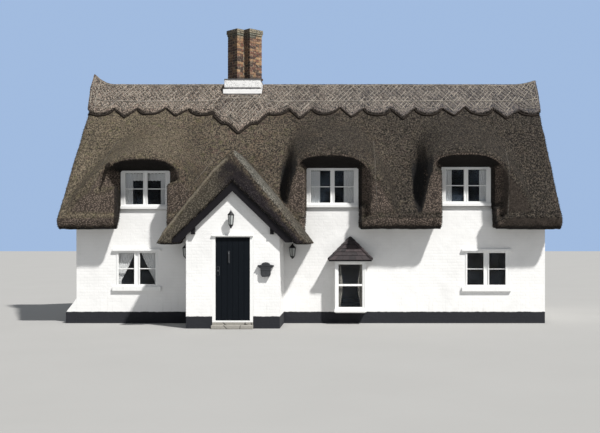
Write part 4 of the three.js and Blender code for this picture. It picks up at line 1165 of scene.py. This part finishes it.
# Door and porch fittings

def door():
    leaf = Pile()
    face, back = -4.310, -4.2655
    left, width, count = DOOR_X - 0.406, 0.812, 6
    for k in range(count):
        a = left + width * k / count + 0.0025
        b = left + width * (k + 1) / count - 0.0025
        leaf.box(a, b, face - 0.013, face + 0.001, 0.202, 2.191)
    for z in (0.42, 1.15, 1.86):
        leaf.box(DOOR_X - 0.36, DOOR_X + 0.33, back, back + 0.0225, z - 0.065, z + 0.065)
    leaf.made("door_boards", DOOR_BLACK, "black_door_paint", "door", bevel=0.003)

    metal = Pile()
    knocker_x, latch_x = DOOR_X - 0.0925, DOOR_X - 0.35
    metal.wide_box(knocker_x, 0.022, face - 0.019, face - 0.012, 1.575, 1.865)
    ring = ((0.030, 1.84), (0.045, 1.80), (0.046, 1.66), (0.030, 1.62))
    metal.tube([(knocker_x, face - out, z) for out, z in ring], 0.009, 8)
    metal.frustum(knocker_x, face - 0.034, 1.60, 1.635, 0.014, 0.018, 8)
    metal.wide_box(latch_x, 0.034, face - 0.018, face - 0.012, 1.28, 1.49)
    metal.frustum(latch_x, face - 0.045, 1.375, 1.41, 0.020, 0.020, 10)
    metal.tube([(latch_x, face - 0.012, 1.392), (latch_x, face - 0.05, 1.392)], 0.008, 8)
    metal.made("door_furniture", WORN_IRON, "black_iron", "door", bevel=0.0015)

    step = Pile()
    step.wide_box(DOOR_X, 0.50, -4.52, -4.352, 0.002, 0.088)
    step.made("door_step", STONE, "stone_floor", bevel=0.012)


def porch_trim():
    """Ends of the two purlins that carry the porch roof, under the bargeboards."""
    pile = Pile()
    pile.pair(PORCH_X, 0.900, 0.990, -4.4495, PORCH_FACE + 0.03, 2.265, 2.50)
    pile.made("porch_purlin_ends", BOARD_BLACK, "black_board_paint", bevel=0.004)


def lantern(node, x, z, face, girth=1.0, drop=0.0):
    """A six-sided lantern with bars, panes, a hat and a bracket."""
    metal, panes = Pile(), Pile()
    y = face - 0.135
    spin = math.pi / 6
    top, bottom = z + 0.085, z - 0.120 - drop / 2

    def corner(k, r, height):
        t = spin + math.pi * k / 3
        return (x + r * girth * math.cos(t), y + r * girth * math.sin(t), height)

    for k in range(6):
        metal.tube([corner(k, 0.064, bottom), corner(k, 0.090, top)], 0.0075 * girth, 5)
    for z0, z1, r0, r1, sides in (
            (top, top + 0.014, 0.100, 0.106, 6), (top + 0.013, top + 0.075, 0.103, 0.036, 6),
            (top + 0.074, top + 0.095, 0.043, 0.030, 6),
            (top + 0.094, top + 0.115, 0.022, 0.012, 8),
            (top + 0.114, top + 0.135, 0.008, 0.004, 8),
            (bottom - 0.012, bottom + 0.004, 0.058, 0.070, 6),
            (bottom - 0.064 - drop / 2, bottom - 0.011, 0.016, 0.056, 6)):
        metal.frustum(x, y, z0, z1, r0 * girth, r1 * girth, sides, spin)
    metal.wide_box(x, 0.036, face - 0.014, face - 0.0005, z - 0.165, z + 0.055)
    arm = ((0.012, 0.0), (0.040, -0.10), (0.075, -0.155), (0.115, -0.175), (0.135, -0.165))
    metal.tube([(x, face - out, z + rise) for out, rise in arm], 0.0085, 7)
    stay = ((0.012, -0.14), (0.05, -0.165), (0.08, -0.150))
    metal.tube([(x, face - out, z + rise) for out, rise in stay], 0.006, 6)
    panes.frustum(x, y, bottom + 0.002, top - 0.001, 0.058 * girth, 0.083 * girth, 6, spin)
    shown = metal.made(node + "_metal", IRON, "black_iron", bevel=0.0012)
    panes.made(node + "_panes", LAMP_GLASS, "window_glass")
    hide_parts(node)


def letterbox():
    """Raised parts on the front of the box: its door, flap, cornice and arched crest."""
    x, face, wall = LETTERBOX_X, PORCH_FACE - 0.085, PORCH_FACE - 0.001
    pile = Pile()

    def panel(outline, reach):
        pile.solid([[(x + u, y, z) for u, z in outline] for y in (face + 0.004, face - reach)])

    panel([(-0.070, 1.262), (0.070, 1.262), (0.100, 1.308), (0.102, 1.385), (-0.102, 1.385),
           (-0.100, 1.308)], 0.008)
    pile.wide_box(x, 0.105, face - 0.014, face + 0.004, 1.402, 1.440)
    pile.wide_box(x, 0.196, face - 0.012, wall, 1.500, 1.522)
    pile.wide_box(x, 0.150, face - 0.008, wall, 1.462, 1.476)
    angles = [math.pi * k / 8 for k in range(9)]
    panel([(0.078 * math.cos(t), 1.538 + 0.040 * math.sin(t)) for t in angles], 0.009)
    pile.frustum(x, face - 0.012, 1.33, 1.35, 0.008, 0.008, 10)
    pile.made("letterbox_front", BOX_IRON, "black_iron", bevel=0.002)


def floor():
    mesh = bpy.data.meshes.new("floor")
    size = 150
    mesh.from_pydata([(-size, -size, 0), (size, -size, 0), (size, size, 0), (-size, size, 0)], [],
                     [(0, 1, 2, 3)])
    mesh.materials.append(
        mottled("floor", 0.4, (0.34, 0.335, 0.325), (0.37, 0.365, 0.355), 0.9))
    plane = linked("floor", mesh)


stand()
dress_cad()
roofs()
chimney()
windows()
bay()
door()
porch_trim()
lantern("left_lantern", -3.166, 1.836, FRONT)
lantern("right_lantern", -0.458, 1.836, FRONT)
lantern("porch_lamp", -1.840, 2.640, PORCH_FACE, 0.85, 0.05)
letterbox()
floor()
